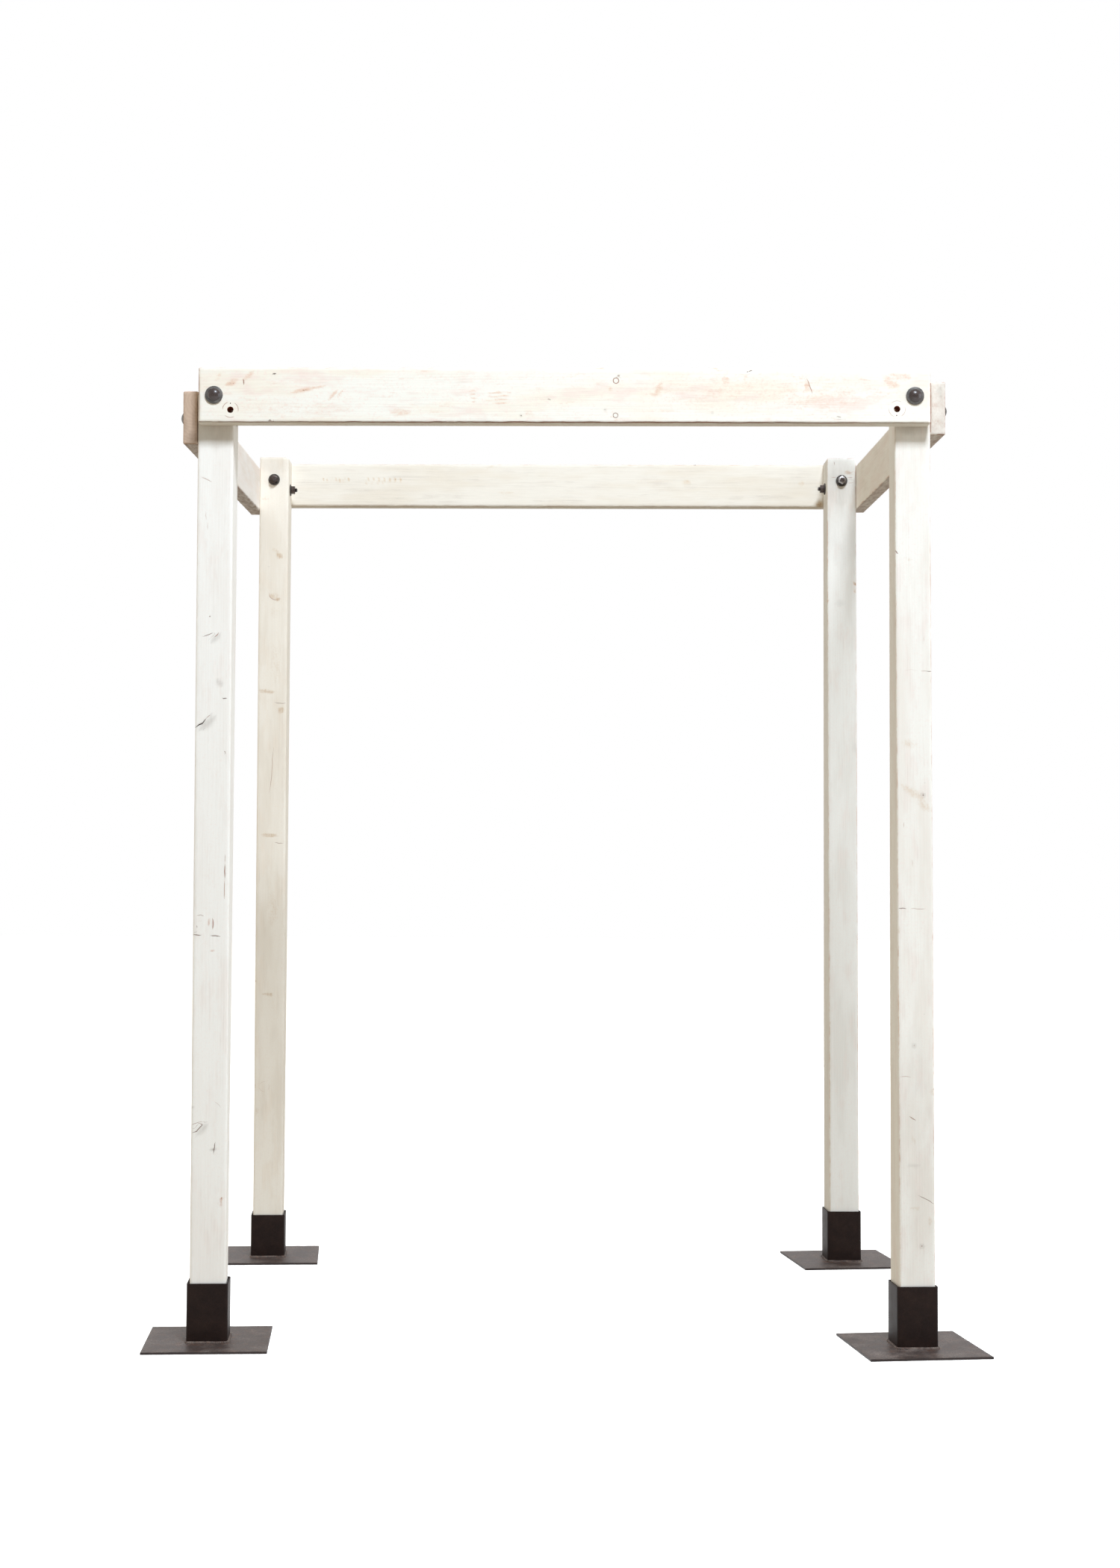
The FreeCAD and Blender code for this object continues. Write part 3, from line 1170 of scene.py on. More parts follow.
@dataclass
class BoltPair:
    """The two bolts of one beam, with their washers and nuts."""

    beam: str
    axis: int
    head_low: bool
    bolt_steel: Steel
    washer_steels: tuple[Steel, Steel]
    nut_steels: tuple[Steel, Steel]
    sizes: BoltSizes = BoltSizes()

    DOME_STEPS = 12
    THREAD_STEPS = 20
    WASHER_STEPS = 56
    NUT_STEPS = 60

    def seats(self) -> list[Matrix]:
        """Where each bolt sits.

        Returns:
            For each bolt, its apex with local Z towards the nut.
        """
        low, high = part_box(f"{self.beam}_bolts")
        way = Vector((0.0, 0.0, 0.0))
        way[self.axis] = 1.0 if self.head_low else -1.0
        turn = Vector((0.0, 0.0, 1.0)).rotation_difference(way).to_matrix().to_4x4()
        seats = []
        for corner, inward in ((low, 1.0), (high, -1.0)):
            seat = Vector(corner) + Vector((inward,) * 3) * self.sizes.dome_r
            seat[self.axis] = (low if self.head_low else high)[self.axis]
            seats.append(Matrix.Translation(seat) @ turn)
        return seats

    def span(self, part: str) -> tuple[float, float]:
        """Start and length of a part, measured along the bolt from its apex.

        Args:
            part: The part's name in the node names.

        Returns:
            The distance to the part and the part's own length.
        """
        bolt_low, bolt_high = (corner[self.axis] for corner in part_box(f"{self.beam}_bolts"))
        low, high = (corner[self.axis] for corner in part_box(f"{self.beam}_{part}"))
        return (low - bolt_low if self.head_low else bolt_high - high), high - low

    def build(self) -> None:
        """Models and dresses all four kinds of part."""
        bolt = self.bolt_steel.dress()
        head, tail = (steel.dress() for steel in self.washer_steels)
        nuts = [steel.dress() for steel in self.nut_steels]
        self.pair("carriage_bolts", "bolts", "bolt_steel", self.bolt(), [bolt, bolt])
        heads = self.washer("head_washers", self.sizes.head_washer)
        self.pair("dome_washers", "head_washers", "washer_steel", heads, [head, head])
        tails = self.washer("nut_washers", self.sizes.nut_washer)
        self.pair("tail_washers", "nut_washers", "washer_steel", tails, [tail, tail])
        self.pair("hex_nuts", "nuts", "nut_steel", self.nut(), nuts)

    def pair(self, label: str, part: str, slot: str, model: Piece,
             materials: list[Material]) -> None:
        """Puts a model at both bolts.

        Args:
            label: Ending of the piece's name.
            part: Ending of the node's name.
            slot: The record's material slot.
            model: The part, along local Z from the bolt's apex.
            materials: The finish at each bolt.
        """
        copies = [model, Bench.copy(model)]
        for copy, seat, material in zip(copies, self.seats(), materials):
            copy.data.materials.clear()
            copy.data.materials.append(material)
            Bench.move(copy, seat)
        piece = Bench.join(f"{self.beam}_{label}", *copies)
        Bench.finish(piece, FRAME_BODY, slot, [f"{self.beam}_{part}"], [])

    def bolt(self) -> Piece:
        """A carriage bolt from its apex along Z.

        Returns:
            The bolt.
        """
        s = self.sizes
        _, long = self.span("bolts")
        cap = s.dome_high - s.dome_land
        ball = (s.dome_r ** 2 + cap ** 2) / (2 * cap)
        widest = math.asin(s.dome_r / ball)
        outline = []
        for step in range(self.DOME_STEPS + 1):
            lean = widest * step / self.DOME_STEPS
            outline.append((ball * math.sin(lean), ball * (1 - math.cos(lean))))
        outline += [(s.dome_r, s.dome_high - s.dome_edge), (s.dome_r - s.dome_edge, s.dome_high)]
        outline += [(s.shank_r, s.dome_high), (s.shank_r, long - s.thread_long)]
        outline += [(s.core_r, long - s.thread_long + MM), (s.core_r, long - s.tip)]
        outline += [(s.core_r - s.tip, long), (0.0, long)]
        shank = Bench.turned("shank", outline)
        neck = Bench.block("neck", (s.neck_side, s.neck_side, s.neck_long))
        Bench.ease(neck, MM, 2)
        Bench.move(neck, Matrix.Translation((0, 0, s.dome_high + 0.5 * s.neck_long)))
        return Bench.join("bolt", shank, neck, self.thread(long))

    def thread(self, long: float) -> Piece:
        """The helical thread at the bolt's end.

        Args:
            long: The bolt's whole length.

        Returns:
            The thread's surface.
        """
        s = self.sizes
        turns = int((s.thread_long - s.tip) / s.pitch) - 1
        start = long - s.tip - turns * s.pitch - s.pitch
        root = s.core_r - s.thread_sink
        ridge = [(root, start), (s.shank_r, start + 0.5 * s.pitch), (root, start + s.pitch)]
        thread = Bench.wire("thread", ridge)
        Bench.apply(thread, "SCREW", angle=math.tau, screw_offset=s.pitch, iterations=turns,
                    steps=self.THREAD_STEPS, render_steps=self.THREAD_STEPS,
                    use_merge_vertices=True, merge_threshold=NEAR)
        Bench.close(thread)
        return thread

    def washer(self, part: str, radii: tuple[float, float]) -> Piece:
        """A washer with broken edges.

        Args:
            part: Ending of the node's name.
            radii: Outer and inner radius.

        Returns:
            The washer.
        """
        start, thick = self.span(part)
        outer, inner = radii
        edge = self.sizes.washer_edge
        top, under = start, start + thick
        worn = 0.6 * edge
        outline = [(inner, top + edge), (inner + edge, top), (outer - 2 * edge, top)]
        outline += [(outer - worn, top + worn), (outer, top + 2 * edge)]
        outline += [(outer, under), (inner, under), (inner, top + edge)]
        return Bench.turned("washer", outline, self.WASHER_STEPS)

    def nut(self) -> Piece:
        """A hexagon nut with chamfered corners and a bore.

        Returns:
            The nut.
        """
        s = self.sizes
        start, high = self.span("nuts")
        corner_r = s.nut_flats / math.sqrt(3)
        nut = Bench.add("nut", "cylinder", vertices=6, radius=corner_r, depth=high)
        Bench.move(nut, Matrix.Translation((0, 0, start + 0.5 * high)))
        face_r, wide = 0.5 * s.nut_flats - s.nut_face_inset, corner_r + s.nut_clear
        near, far = start - s.nut_over, start + high + s.nut_over
        outline = [(s.core_r, near), (face_r, near), (wide, start + s.nut_chamfer)]
        outline += [(wide, start + high - s.nut_chamfer), (face_r, far)]
        outline += [(s.core_r, far), (s.core_r, near)]
        barrel = Bench.turned("barrel", outline, self.NUT_STEPS)
        Bench.apply(nut, "BOOLEAN", operation="INTERSECT", object=barrel)
        bpy.data.objects.remove(barrel)
        return nut


@dataclass
class Foot:
    """A loose steel foot: a plate with a square tube welded upright on it."""

    corner: str
    plate_turn: float
    socket_turn: float
    plate_steel: Steel
    socket_steel: Steel
    weld_steel: Steel
    plate_side: float = 304.8 * MM
    socket_side: float = 101.6 * MM
    wall: float = 3.175 * MM
    corner_r: float = 7.0 * MM
    weld_leg: float = 5.0 * MM
    ripple: float = 4.6 * MM
    plate_edge: float = 0.8 * MM
    plate_heat: float = 38.0 * MM
    rim_wide: float = 0.5 * MM
    sheared: float = 1.5 * MM
    shear_loss: float = 0.9 * MM
    socket_edge: float = 0.5 * MM
    socket_heat: float = 14.0 * MM

    PLATE_CUTS = 54
    PLATE_HEAT_SHARE = 0.8
    RIM_SHADE = 0.85
    SOCKET_CUTS = 19
    SOCKET_HEAT_SHARE = 0.35
    CORNER_FACETS = 6
    SHEAR_CELL = 20.0 * MM
    WELD_FACETS = 8
    PER_RIPPLE = 5
    CHEVRON = 0.28
    BEAD = 0.80
    RIPPLE_SWELL = 0.16
    SWAY_SWELL = 0.04
    SWAYS = 9

    @property
    def flat(self) -> float:
        """The straight part of one side of the socket."""
        return self.socket_side - 2 * self.corner_r

    @property
    def quarter(self) -> float:
        """A quarter of the way round the socket: a straight part and a corner."""
        return self.flat + 0.5 * math.pi * self.corner_r

    def heights(self, node: str) -> tuple[float, float]:
        """The lowest and the highest point of one of the foot's nodes."""
        low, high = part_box(f"{self.corner}_{node}")
        return low.z, high.z

    def place(self, node: str, turn: float) -> Matrix:
        """The middle of one of the foot's nodes, turned about Z by some degrees."""
        low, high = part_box(f"{self.corner}_{node}")
        return Matrix.Translation(0.5 * (low + high)) @ Matrix.Rotation(math.radians(turn), 4, "Z")

    def finish(self, piece: Piece, slot: str, node: str, steel: Steel, smooth_deg: float) -> None:
        """Dresses one of the foot's pieces."""
        nodes = [f"{self.corner}_{node}"]
        Bench.finish(piece, f"{self.corner}_foot", slot, nodes, [steel.dress()], smooth_deg)

    def build(self) -> None:
        """Models and dresses the plate, the socket and the weld."""
        self.plate()
        self.socket()
        self.weld()

    def plate(self) -> None:
        """The ground plate, with sheared edges and heat marks round the weld."""
        low, high = self.heights("base_plate")
        piece = Bench.block(f"{self.corner}_ground_plate", (self.plate_side, self.plate_side, high - low))
        Bench.ease(piece, self.plate_edge, 2)
        for axis in (0, 1):
            Bench.divide(piece, axis, self.PLATE_CUTS)
        places = Bench.places(piece)
        turn = math.radians(self.socket_turn - self.plate_turn)
        across = np.abs(places[:, 0] * math.cos(turn) + places[:, 1] * math.sin(turn))
        down = np.abs(places[:, 1] * math.cos(turn) - places[:, 0] * math.sin(turn))
        from_socket = np.maximum(across, down) - 0.5 * self.socket_side
        rim = 0.5 * self.plate_side - np.max(np.abs(places[:, :2]), axis=1)
        marks = np.zeros_like(places)
        marks[:, 0] = self.PLATE_HEAT_SHARE * np.clip(1.0 - from_socket / self.plate_heat, 0.0, 1.0)
        marks[:, 1] = np.where(rim < self.rim_wide, self.RIM_SHADE, 0.0)
        Bench.store(piece, STEEL, marks)
        Bench.group(piece, "sheared", np.where(rim < self.sheared, 1.0, 0.0))
        Bench.move(piece, self.place("base_plate", self.plate_turn))
        Bench.roughen(piece, "sheared", self.shear_loss, self.SHEAR_CELL)
        self.finish(piece, "plate_steel", "base_plate", self.plate_steel, 38.0)

    def socket(self) -> None:
        """The square tube, sawn off at the top."""
        low, high = self.heights("socket")
        tall = high - low
        piece = Bench.block(f"{self.corner}_post_socket", (self.socket_side, self.socket_side, tall))
        Bench.ease(piece, self.corner_r, self.CORNER_FACETS, axis=2)
        with Bench.editing(piece, "FACE") as mesh:
            for face in mesh.faces:
                face.select_set(abs(face.normal.z) > 0.9)
            bpy.ops.mesh.delete(type="FACE")
        Bench.divide(piece, 2, self.SOCKET_CUTS)
        Bench.apply(piece, "SOLIDIFY", thickness=self.wall, offset=-1.0, use_even_offset=True)
        with Bench.editing(piece) as mesh:
            for edge in mesh.edges:
                level = all(abs(abs(vertex.co.z) - 0.5 * tall) < NEAR for vertex in edge.verts)
                turned = edge.calc_face_angle(0.0) > math.radians(60)
                edge.select_set(level and turned)
            bpy.ops.mesh.bevel(offset=self.socket_edge, segments=2, affect="EDGES")
        places = Bench.places(piece)
        marks = np.zeros_like(places)
        up = places[:, 2] + 0.5 * tall
        marks[:, 0] = self.SOCKET_HEAT_SHARE * np.clip(1.0 - up / self.socket_heat, 0.0, 1.0)
        Bench.store(piece, STEEL, marks)
        Bench.move(piece, self.place("socket", self.socket_turn))
        self.finish(piece, "socket_steel", "socket", self.socket_steel, 30.0)

    def outline(self, share: Array) -> tuple[Array, Array]:
        """Points round the socket's outside, and the way outwards there.

        Args:
            share: How far round each point lies, 0 to 1.

        Returns:
            The points and the outward directions.
        """
        run = (share % 1.0) * 4 * self.quarter
        side = np.floor(run / self.quarter)
        rest = run - side * self.quarter
        lean = np.clip((rest - self.flat) / self.corner_r, 0.0, 0.5 * math.pi)
        x = np.minimum(rest, self.flat) - 0.5 * self.flat + self.corner_r * np.sin(lean)
        y = -0.5 * self.socket_side + self.corner_r * (1 - np.cos(lean))
        turn = side * 0.5 * math.pi
        cosine, sine = np.cos(turn), np.sin(turn)
        points = np.stack([x * cosine - y * sine, x * sine + y * cosine], axis=1)
        out = turn + lean - 0.5 * math.pi
        return points, np.stack([np.cos(out), np.sin(out)], axis=1)

    def weld(self) -> None:
        """The fillet weld, with its ripples."""
        ripples = round(4 * self.quarter / self.ripple)
        rings = self.WELD_FACETS + 2
        piece = Bench.add(f"{self.corner}_fillet_weld", "grid", size=1.0,
                          x_subdivisions=self.PER_RIPPLE * ripples, y_subdivisions=rings)
        places = Bench.places(piece)
        share, ring = places[:, 0] + 0.5, np.round((places[:, 1] + 0.5) * rings)
        points, out = self.outline(share)
        lean = 0.5 * math.pi * np.minimum(ring, self.WELD_FACETS) / self.WELD_FACETS
        phase = share * ripples - self.CHEVRON * np.sin(2 * lean)
        sway = np.sin(self.SWAYS * math.tau * share + 1.0)
        swell = self.BEAD + self.RIPPLE_SWELL * np.abs(np.sin(math.pi * phase)) + self.SWAY_SWELL * sway
        leg = np.where(ring == rings - 1, 0.0, self.weld_leg * swell)
        lean = np.where(ring == rings, 0.0, lean)
        reach, rise = leg * np.sin(lean), leg * np.cos(lean)
        shaped = np.column_stack([points + out * reach[:, None], rise])
        piece.data.vertices.foreach_set("co", shaped.astype(np.float32).ravel())
        Bench.close(piece)
        place = self.place("weld_bead", self.socket_turn)
        place.translation.z = self.heights("weld_bead")[0]
        Bench.move(piece, place)
        self.finish(piece, "weld_steel", "weld_bead", self.weld_steel, 60.0)


class Finishes:
    """Every finish on the arch."""

    FRONT_BEAM = Whitewash(
        "front_beam_whitewash", srgb(250, 247, 238), srgb(249, 240, 224), srgb(233, 198, 174),
        blush=srgb(248, 229, 219), streak=0.7, fibre=0.1, rings=0.03, edge_wear=0.5)
    REAR_BEAM = Whitewash(
        "rear_beam_whitewash", srgb(243, 237, 226), srgb(237, 228, 213), srgb(222, 200, 172),
        rings=0.12, fibre=0.14, edge_wear=0.5, grain_start=(3.1, 0.05, 0.02))
    LEFT_BEAM = Whitewash(
        "left_beam_whitewash", srgb(250, 244, 238), srgb(242, 229, 218), srgb(196, 172, 154),
        wood=srgb(217, 193, 173), late_wood=srgb(208, 183, 163), grain_start=(5.3, 0.02, -0.04))
    RIGHT_BEAM = Whitewash(
        "right_beam_whitewash", srgb(250, 245, 236), srgb(243, 232, 222), srgb(226, 190, 172),
        grain_start=(7.7, -0.03, 0.05))
    FRONT_LEFT_POST = Whitewash(
        "front_left_post_whitewash", srgb(254, 252, 247), srgb(250, 246, 240), srgb(214, 176, 158),
        blush=srgb(251, 242, 235), edge_wear=0.1, grain_start=(1.7, 0.06, 0.03))
    FRONT_RIGHT_POST = Whitewash(
        "front_right_post_whitewash", srgb(249, 246, 239), srgb(242, 236, 227), srgb(224, 204, 182),
        blush=srgb(246, 234, 226), edge_wear=0.6, grain_start=(9.4, 0.04, -0.05))
    REAR_LEFT_POST = Whitewash(
        "rear_left_post_whitewash", srgb(245, 238, 226), srgb(237, 228, 214), srgb(206, 180, 150),
        blush=srgb(240, 228, 212), edge_wear=0.15, grain_start=(11.2, -0.05, 0.04))
    REAR_RIGHT_POST = Whitewash(
        "rear_right_post_whitewash", srgb(240, 238, 232), srgb(232, 229, 222), srgb(214, 190, 168),
        blush=srgb(238, 228, 220), edge_wear=0.6, grain_start=(13.6, 0.05, 0.06))
    PLATE = Steel("plate_steel_scale", srgb(78, 67, 63), srgb(112, 101, 96), edge=srgb(34, 26, 26),
                  rust_share=0.35, dust_share=0.4, grit=0.55)
    SOCKET = Steel("socket_steel_scale", srgb(29, 20, 17), srgb(40, 29, 25), rust=srgb(56, 38, 31),
                   dust=srgb(72, 64, 58), rust_share=0.25, dust_share=0.1, metallic=0.0,
                   sheen=0.08, cells=22.0)
    WELD = Steel("weld_steel_scale", srgb(66, 56, 52), srgb(112, 100, 92), rust_share=0.55, cells=60.0)
    BOLT = Steel("bolt_steel_black", srgb(38, 25, 22), srgb(54, 39, 35), rust_share=0.1, dust_share=0.03,
                 metallic=0.0, roughness=0.28, sheen=0.5, cells=70.0, grit=0.1)
    WASHER = Steel("washer_steel_dull", srgb(84, 82, 80), srgb(110, 107, 104), rust_share=0.05,
                   dust_share=0.05, roughness=0.42, sheen=0.25, cells=70.0, grit=0.12)
    TAIL_WASHER = Steel("washer_steel_dark", srgb(62, 58, 54), srgb(90, 85, 80), rust_share=0.1,
                        dust_share=0.05, roughness=0.42, sheen=0.4, cells=70.0, grit=0.15)
    NUT = Steel("nut_steel_black", srgb(56, 46, 42), srgb(84, 72, 66), rust_share=0.2, dust_share=0.05,
                metallic=0.35, roughness=0.34, sheen=0.4, cells=70.0)
    BRIGHT_NUT = Steel("nut_steel_bright", srgb(128, 124, 122), srgb(172, 168, 166), rust_share=0.05,
                       dust_share=0.05, metallic=0.95, roughness=0.28, cells=70.0)


class Frame:
    """The eight timbers and the bolts that hold them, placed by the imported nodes."""

    BEAMS = (("front_beam", 1, True), ("rear_beam", 1, False),
             ("left_side_beam", 0, True), ("right_side_beam", 0, False))
    RUBS = 90
    RUB_SEED = 7
    EDGE_STEP = 24

    def __init__(self) -> None:
        """Sets out the bolts, two to a beam."""
        self.bolts: dict[str, BoltPair] = {}
        washers = (Finishes.WASHER, Finishes.TAIL_WASHER)
        for beam, axis, head_low in self.BEAMS:
            nuts = (Finishes.NUT, Finishes.BRIGHT_NUT if beam == "rear_beam" else Finishes.NUT)
            self.bolts[beam] = BoltPair(beam, axis, head_low, Finishes.BOLT, washers, nuts)

    def cross_beam(self, node: str, finish: Whitewash, **details: object) -> Timber:
        """A beam along X.

        Args:
            node: Its node.
            finish: Its finish.
            details: Its marks and wear.

        Returns:
            The beam.
        """
        low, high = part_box(node)
        place = Matrix.Translation(0.5 * (low + high))
        beam = Timber(f"{node}_timber", node, "beam_timber", tuple(high - low), place, finish, **details)
        return beam.scar(Face.BACK, Face.TOP)

    def side_beam(self, node: str, inner_right: bool, finish: Whitewash, **details: object) -> Timber:
        """A beam along Y that falls to the front, with its front face turned inwards.

        Args:
            node: Its node.
            inner_right: Whether its inner face looks to the right.
            finish: Its finish.
            details: Its marks and wear.

        Returns:
            The beam.
        """
        low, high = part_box(node)
        first, second = (seat.translation for seat in self.bolts[node].seats())
        fall = math.atan2(second.z - first.z, second.y - first.y)
        rear_low, rear_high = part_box("rear_beam")
        tall = rear_high.z - rear_low.z
        long = (high.y - low.y - tall * math.sin(fall)) / math.cos(fall)
        turn = Matrix.Rotation(math.radians(90 if inner_right else -90), 4, "Z")
        place = Matrix.Translation(0.5 * (low + high)) @ Matrix.Rotation(fall, 4, "X") @ turn
        size = (long, high.x - low.x, tall)
        beam = Timber(f"{node}_timber", node, "beam_timber", size, place, finish, **details)
        return beam.scar(Face.BACK, Face.TOP)

    def post(self, corner: str, finish: Whitewash, **details: object) -> Timber:
        """A post, with its rule reading heights above the ground.

        Args:
            corner: Its corner.
            finish: Its finish.
            details: Its marks and wear.

        Returns:
            The post.
        """
        node = f"{corner}_post"
        low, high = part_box(node)
        middle = 0.5 * (low + high)
        down = Matrix(((0, 0, 1, 0), (0, 1, 0, 0), (-1, 0, 0, 0), (0, 0, 0, 1)))
        place = Matrix.Translation(middle) @ down
        size = (high.z - low.z, high.y - low.y, high.x - low.x)
        outer = Face.BOTTOM if middle.x < 0 else Face.TOP
        post = Timber(f"{node}_timber", node, "post_timber", size, place, finish,
                      datum=middle.z / MM, sense=-1.0, **details)
        return post.scar(Face.BACK, outer)

    def front_beam(self) -> Timber:
        """The front beam, the most rubbed of all.

        Returns:
            The beam.
        """
        marks = [
            Smear(-826, 32, 40, 15, 0.66, 24), Smear(-784, 49, 46, 12, 0.6, 38),
            Smear(-860, 46, 30, 14, 0.4, 60), CrackAndShadowLine(((-798, 40), (-796, 26)), 2.2, 0.7),
            CrackAndShadowLine(((-724, 53), (-716, 54)), 3.0, 0.1), Smear(-640, 14, 100, 12, 0.6, 12),
            Smear(-606, 21, 40, 6, 0.7, 12), Smear(-574, 0, 46, 9, 0.55, 50),
            Smear(-556, 4, 40, 6, 0.5, 52), Smear(-405, -43, 60, 28, 0.35), Smear(832, 50, 74, 26, 0.5, -6),
            Smear(812, 34, 62, 30, 0.5, -42), Ring(130, 37, 7.0, 1.6), Smear(116, 16, 16, 9, 0.6, 30),
            CrackAndShadowLine(((134, 50), (139, 51)), 2.4, 0.6), Smear(236, 18, 44, 20, 0.6, 58),
            Smear(225, 3, 30, 10, 0.5), Smear(402, 40, 24, 40, 0.42), Smear(452, 41, 16, 34, 0.42),
            CrackAndShadowLine(((456, 60), (464, 61)), 3.0, 0.2),
            CrackAndShadowLine(((603, 42), (608, 30), (614, 14), (616, 6)), 1.5, 1.0), Smear(603, 23, 16, 32, 0.62),
            CrackAndShadowLine(((618, 63), (620, 57)), 1.8, 0.2), Ring(129, -50, 6.0, 1.2, 0.5),
            Smear(130, -60, 14, 14, 0.45), Ring(103, -36, 0.8, 2.4, 0.1), Ring(-106, -51, 0.8, 2.4, 0.1),
            Ring(369, -43, 0.8, 2.2, 0.1), Smear(-85, -46, 20, 34, 0.35, 60),
            CrackAndShadowLine(((-40, -9), (-32, -12)), 1.2, 0.4), CrackAndShadowLine(((-733, -63), (-727, -62)), 1.6, 0.2),
            # The line at -908.3 down the left end paints shade on that arris.
            CrackAndShadowLine(((-908.3, 58), (-908.3, -66)), 2.4, 0.8, stray=0.003),
            CrackAndShadowLine(((676, -52), (688, -54)), 1.2, 0.3), Smear(-300, 45, 420, 26, 0.16),
            Smear(300, 55, 380, 18, 0.18), Smear(640, -10, 260, 90, 0.3), Smear(500, 10, 800, 130, 0.26),
            Smear(-680, -35, 360, 60, 0.24),
        ]
        for step in range(4):
            marks.append(Smear(-222 - 2 * step, -16 + 9 * step, 20, 4.5, 0.62, 10))
            marks.append(Smear(-160, -20 + 9 * step, 74, 4.5, 0.55, 4))
        chance = np.random.default_rng(self.RUB_SEED)
        for _ in range(self.RUBS):
            along, across = chance.uniform(-900, 900), chance.uniform(-62, 66)
            long, wide = chance.uniform(14, 70), chance.uniform(3, 9)
            strength, turn = chance.uniform(0.14, 0.36), chance.uniform(-12, 12)
            marks.append(Smear(along, across, long, wide, strength, turn))
        holes = [Bore(-829, -37, 7.95), Bore(826, -33, 7.95)]
        pilots = [Bore(-829, -21, 1.3, 7.0), Bore(825, -49, 1.3, 7.0)]
        rims = [Ring(-829, -37, 19.6, 1.2, 1.2), Ring(826, -33, 20.4, 1.0, 1.45)]
        steps = np.arange(-906, 907, self.EDGE_STEP)
        lower = chance.uniform(-0.9, 0.9, len(steps)) - 67.6
        arris = CrackAndShadowLine(tuple(zip(steps.tolist(), lower.tolist())), 3.0, 0.55, stray=0.02)
        return self.cross_beam("front_beam", Finishes.FRONT_BEAM, marks=marks + rims + [arris],
                               bores=holes + pilots, blunt=((Face.END, Face.TOP, 14 * MM),),
                               pitch=(4.0, 3.4), wane=2.2 * MM, worn_faces={Face.BOTTOM: 0.12},
                               soiled_faces={Face.BOTTOM: 0.3})

    def rear_beam(self) -> Timber:
        """The rear beam, with arched grain and rows of tool marks.

        Returns:
            The beam.
        """
        marks = [
            Smear(-208, 57, 40, 12, 0.4, 30), Smear(-159, -22, 60, 14, 0.35), Smear(402, 8, 34, 24, 0.42),
            Smear(815, -58, 26, 24, 0.85), Smear(759, 8, 26, 18, 0.45), Smear(300, 12, 200, 30, 0.2),
            CrackAndShadowLine(((424, 67), (432, 66)), 3.0, 0.1), Smear(-560, 10, 380, 40, 0.15),
        ]
        for step in range(7):
            marks.append(Smear(-728 + 13 * step, 18, 20, 5, 0.6, 76))
            marks.append(Smear(-590 + 17 * step, 14, 28, 6, 0.6, 74))
        return self.cross_beam("rear_beam", Finishes.REAR_BEAM, marks=marks, wane=1.6 * MM,
                               worn_faces={Face.BOTTOM: 0.15}, soiled_faces={Face.BOTTOM: 0.3})

    def left_beam(self) -> Timber:
        """The left beam, whose front end is bare.

        Returns:
            The beam.
        """
        marks = [
            SoilAndShade(-4, -52, 40, 36, 0.6, face=Face.START), SoilAndShade(-10, 0, 12, 90, 0.4, 8, face=Face.START),
            SoilAndShade(12, -24, 14, 60, 0.3, -6, face=Face.START),
            # The line at -18.2 paints the shadow of the gap between this end and the front left post and
            # front beam.
            CrackAndShadowLine(((-18.2, 62), (-18.2, -64)), 3.4, 0.1, Face.START, 0.003),
        ]
        return self.side_beam("left_side_beam", True, Finishes.LEFT_BEAM, marks=marks,
                              worn_faces={Face.BOTTOM: 0.4, Face.START: 1.2, Face.FRONT: 0.06},
                              soiled_faces={Face.BOTTOM: 0.9, Face.START: 0.1})

    def right_beam(self) -> Timber:
        """The right beam, whose front end keeps its coat.

        Returns:
            The beam.
        """
        marks = [
            Smear(-2, -34, 40, 76, 0.26, face=Face.END), Smear(-6, 6, 18, 40, 0.3, 20, face=Face.END),
            SoilAndShade(4, 46, 20, 34, 0.55, face=Face.END), SoilAndShade(7, 32, 8, 26, 0.6, face=Face.END),
            # The line at -18.2 paints the shadow of the gap between this end and the front beam.
            CrackAndShadowLine(((-18.2, 64), (-18.2, -60)), 3.4, 0.7, Face.END, 0.003),
            CrackAndShadowLine(((-4, -65.6), (18, -65.8)), 2.4, 0.7, Face.END, 0.01),
        ]
        return self.side_beam("right_side_beam", False, Finishes.RIGHT_BEAM, marks=marks,
                              worn_faces={Face.BOTTOM: 0.3, Face.FRONT: 0.05, Face.END: 0.22},
                              soiled_faces={Face.BOTTOM: 0.85, Face.FRONT: 0.04, Face.END: 0.32})

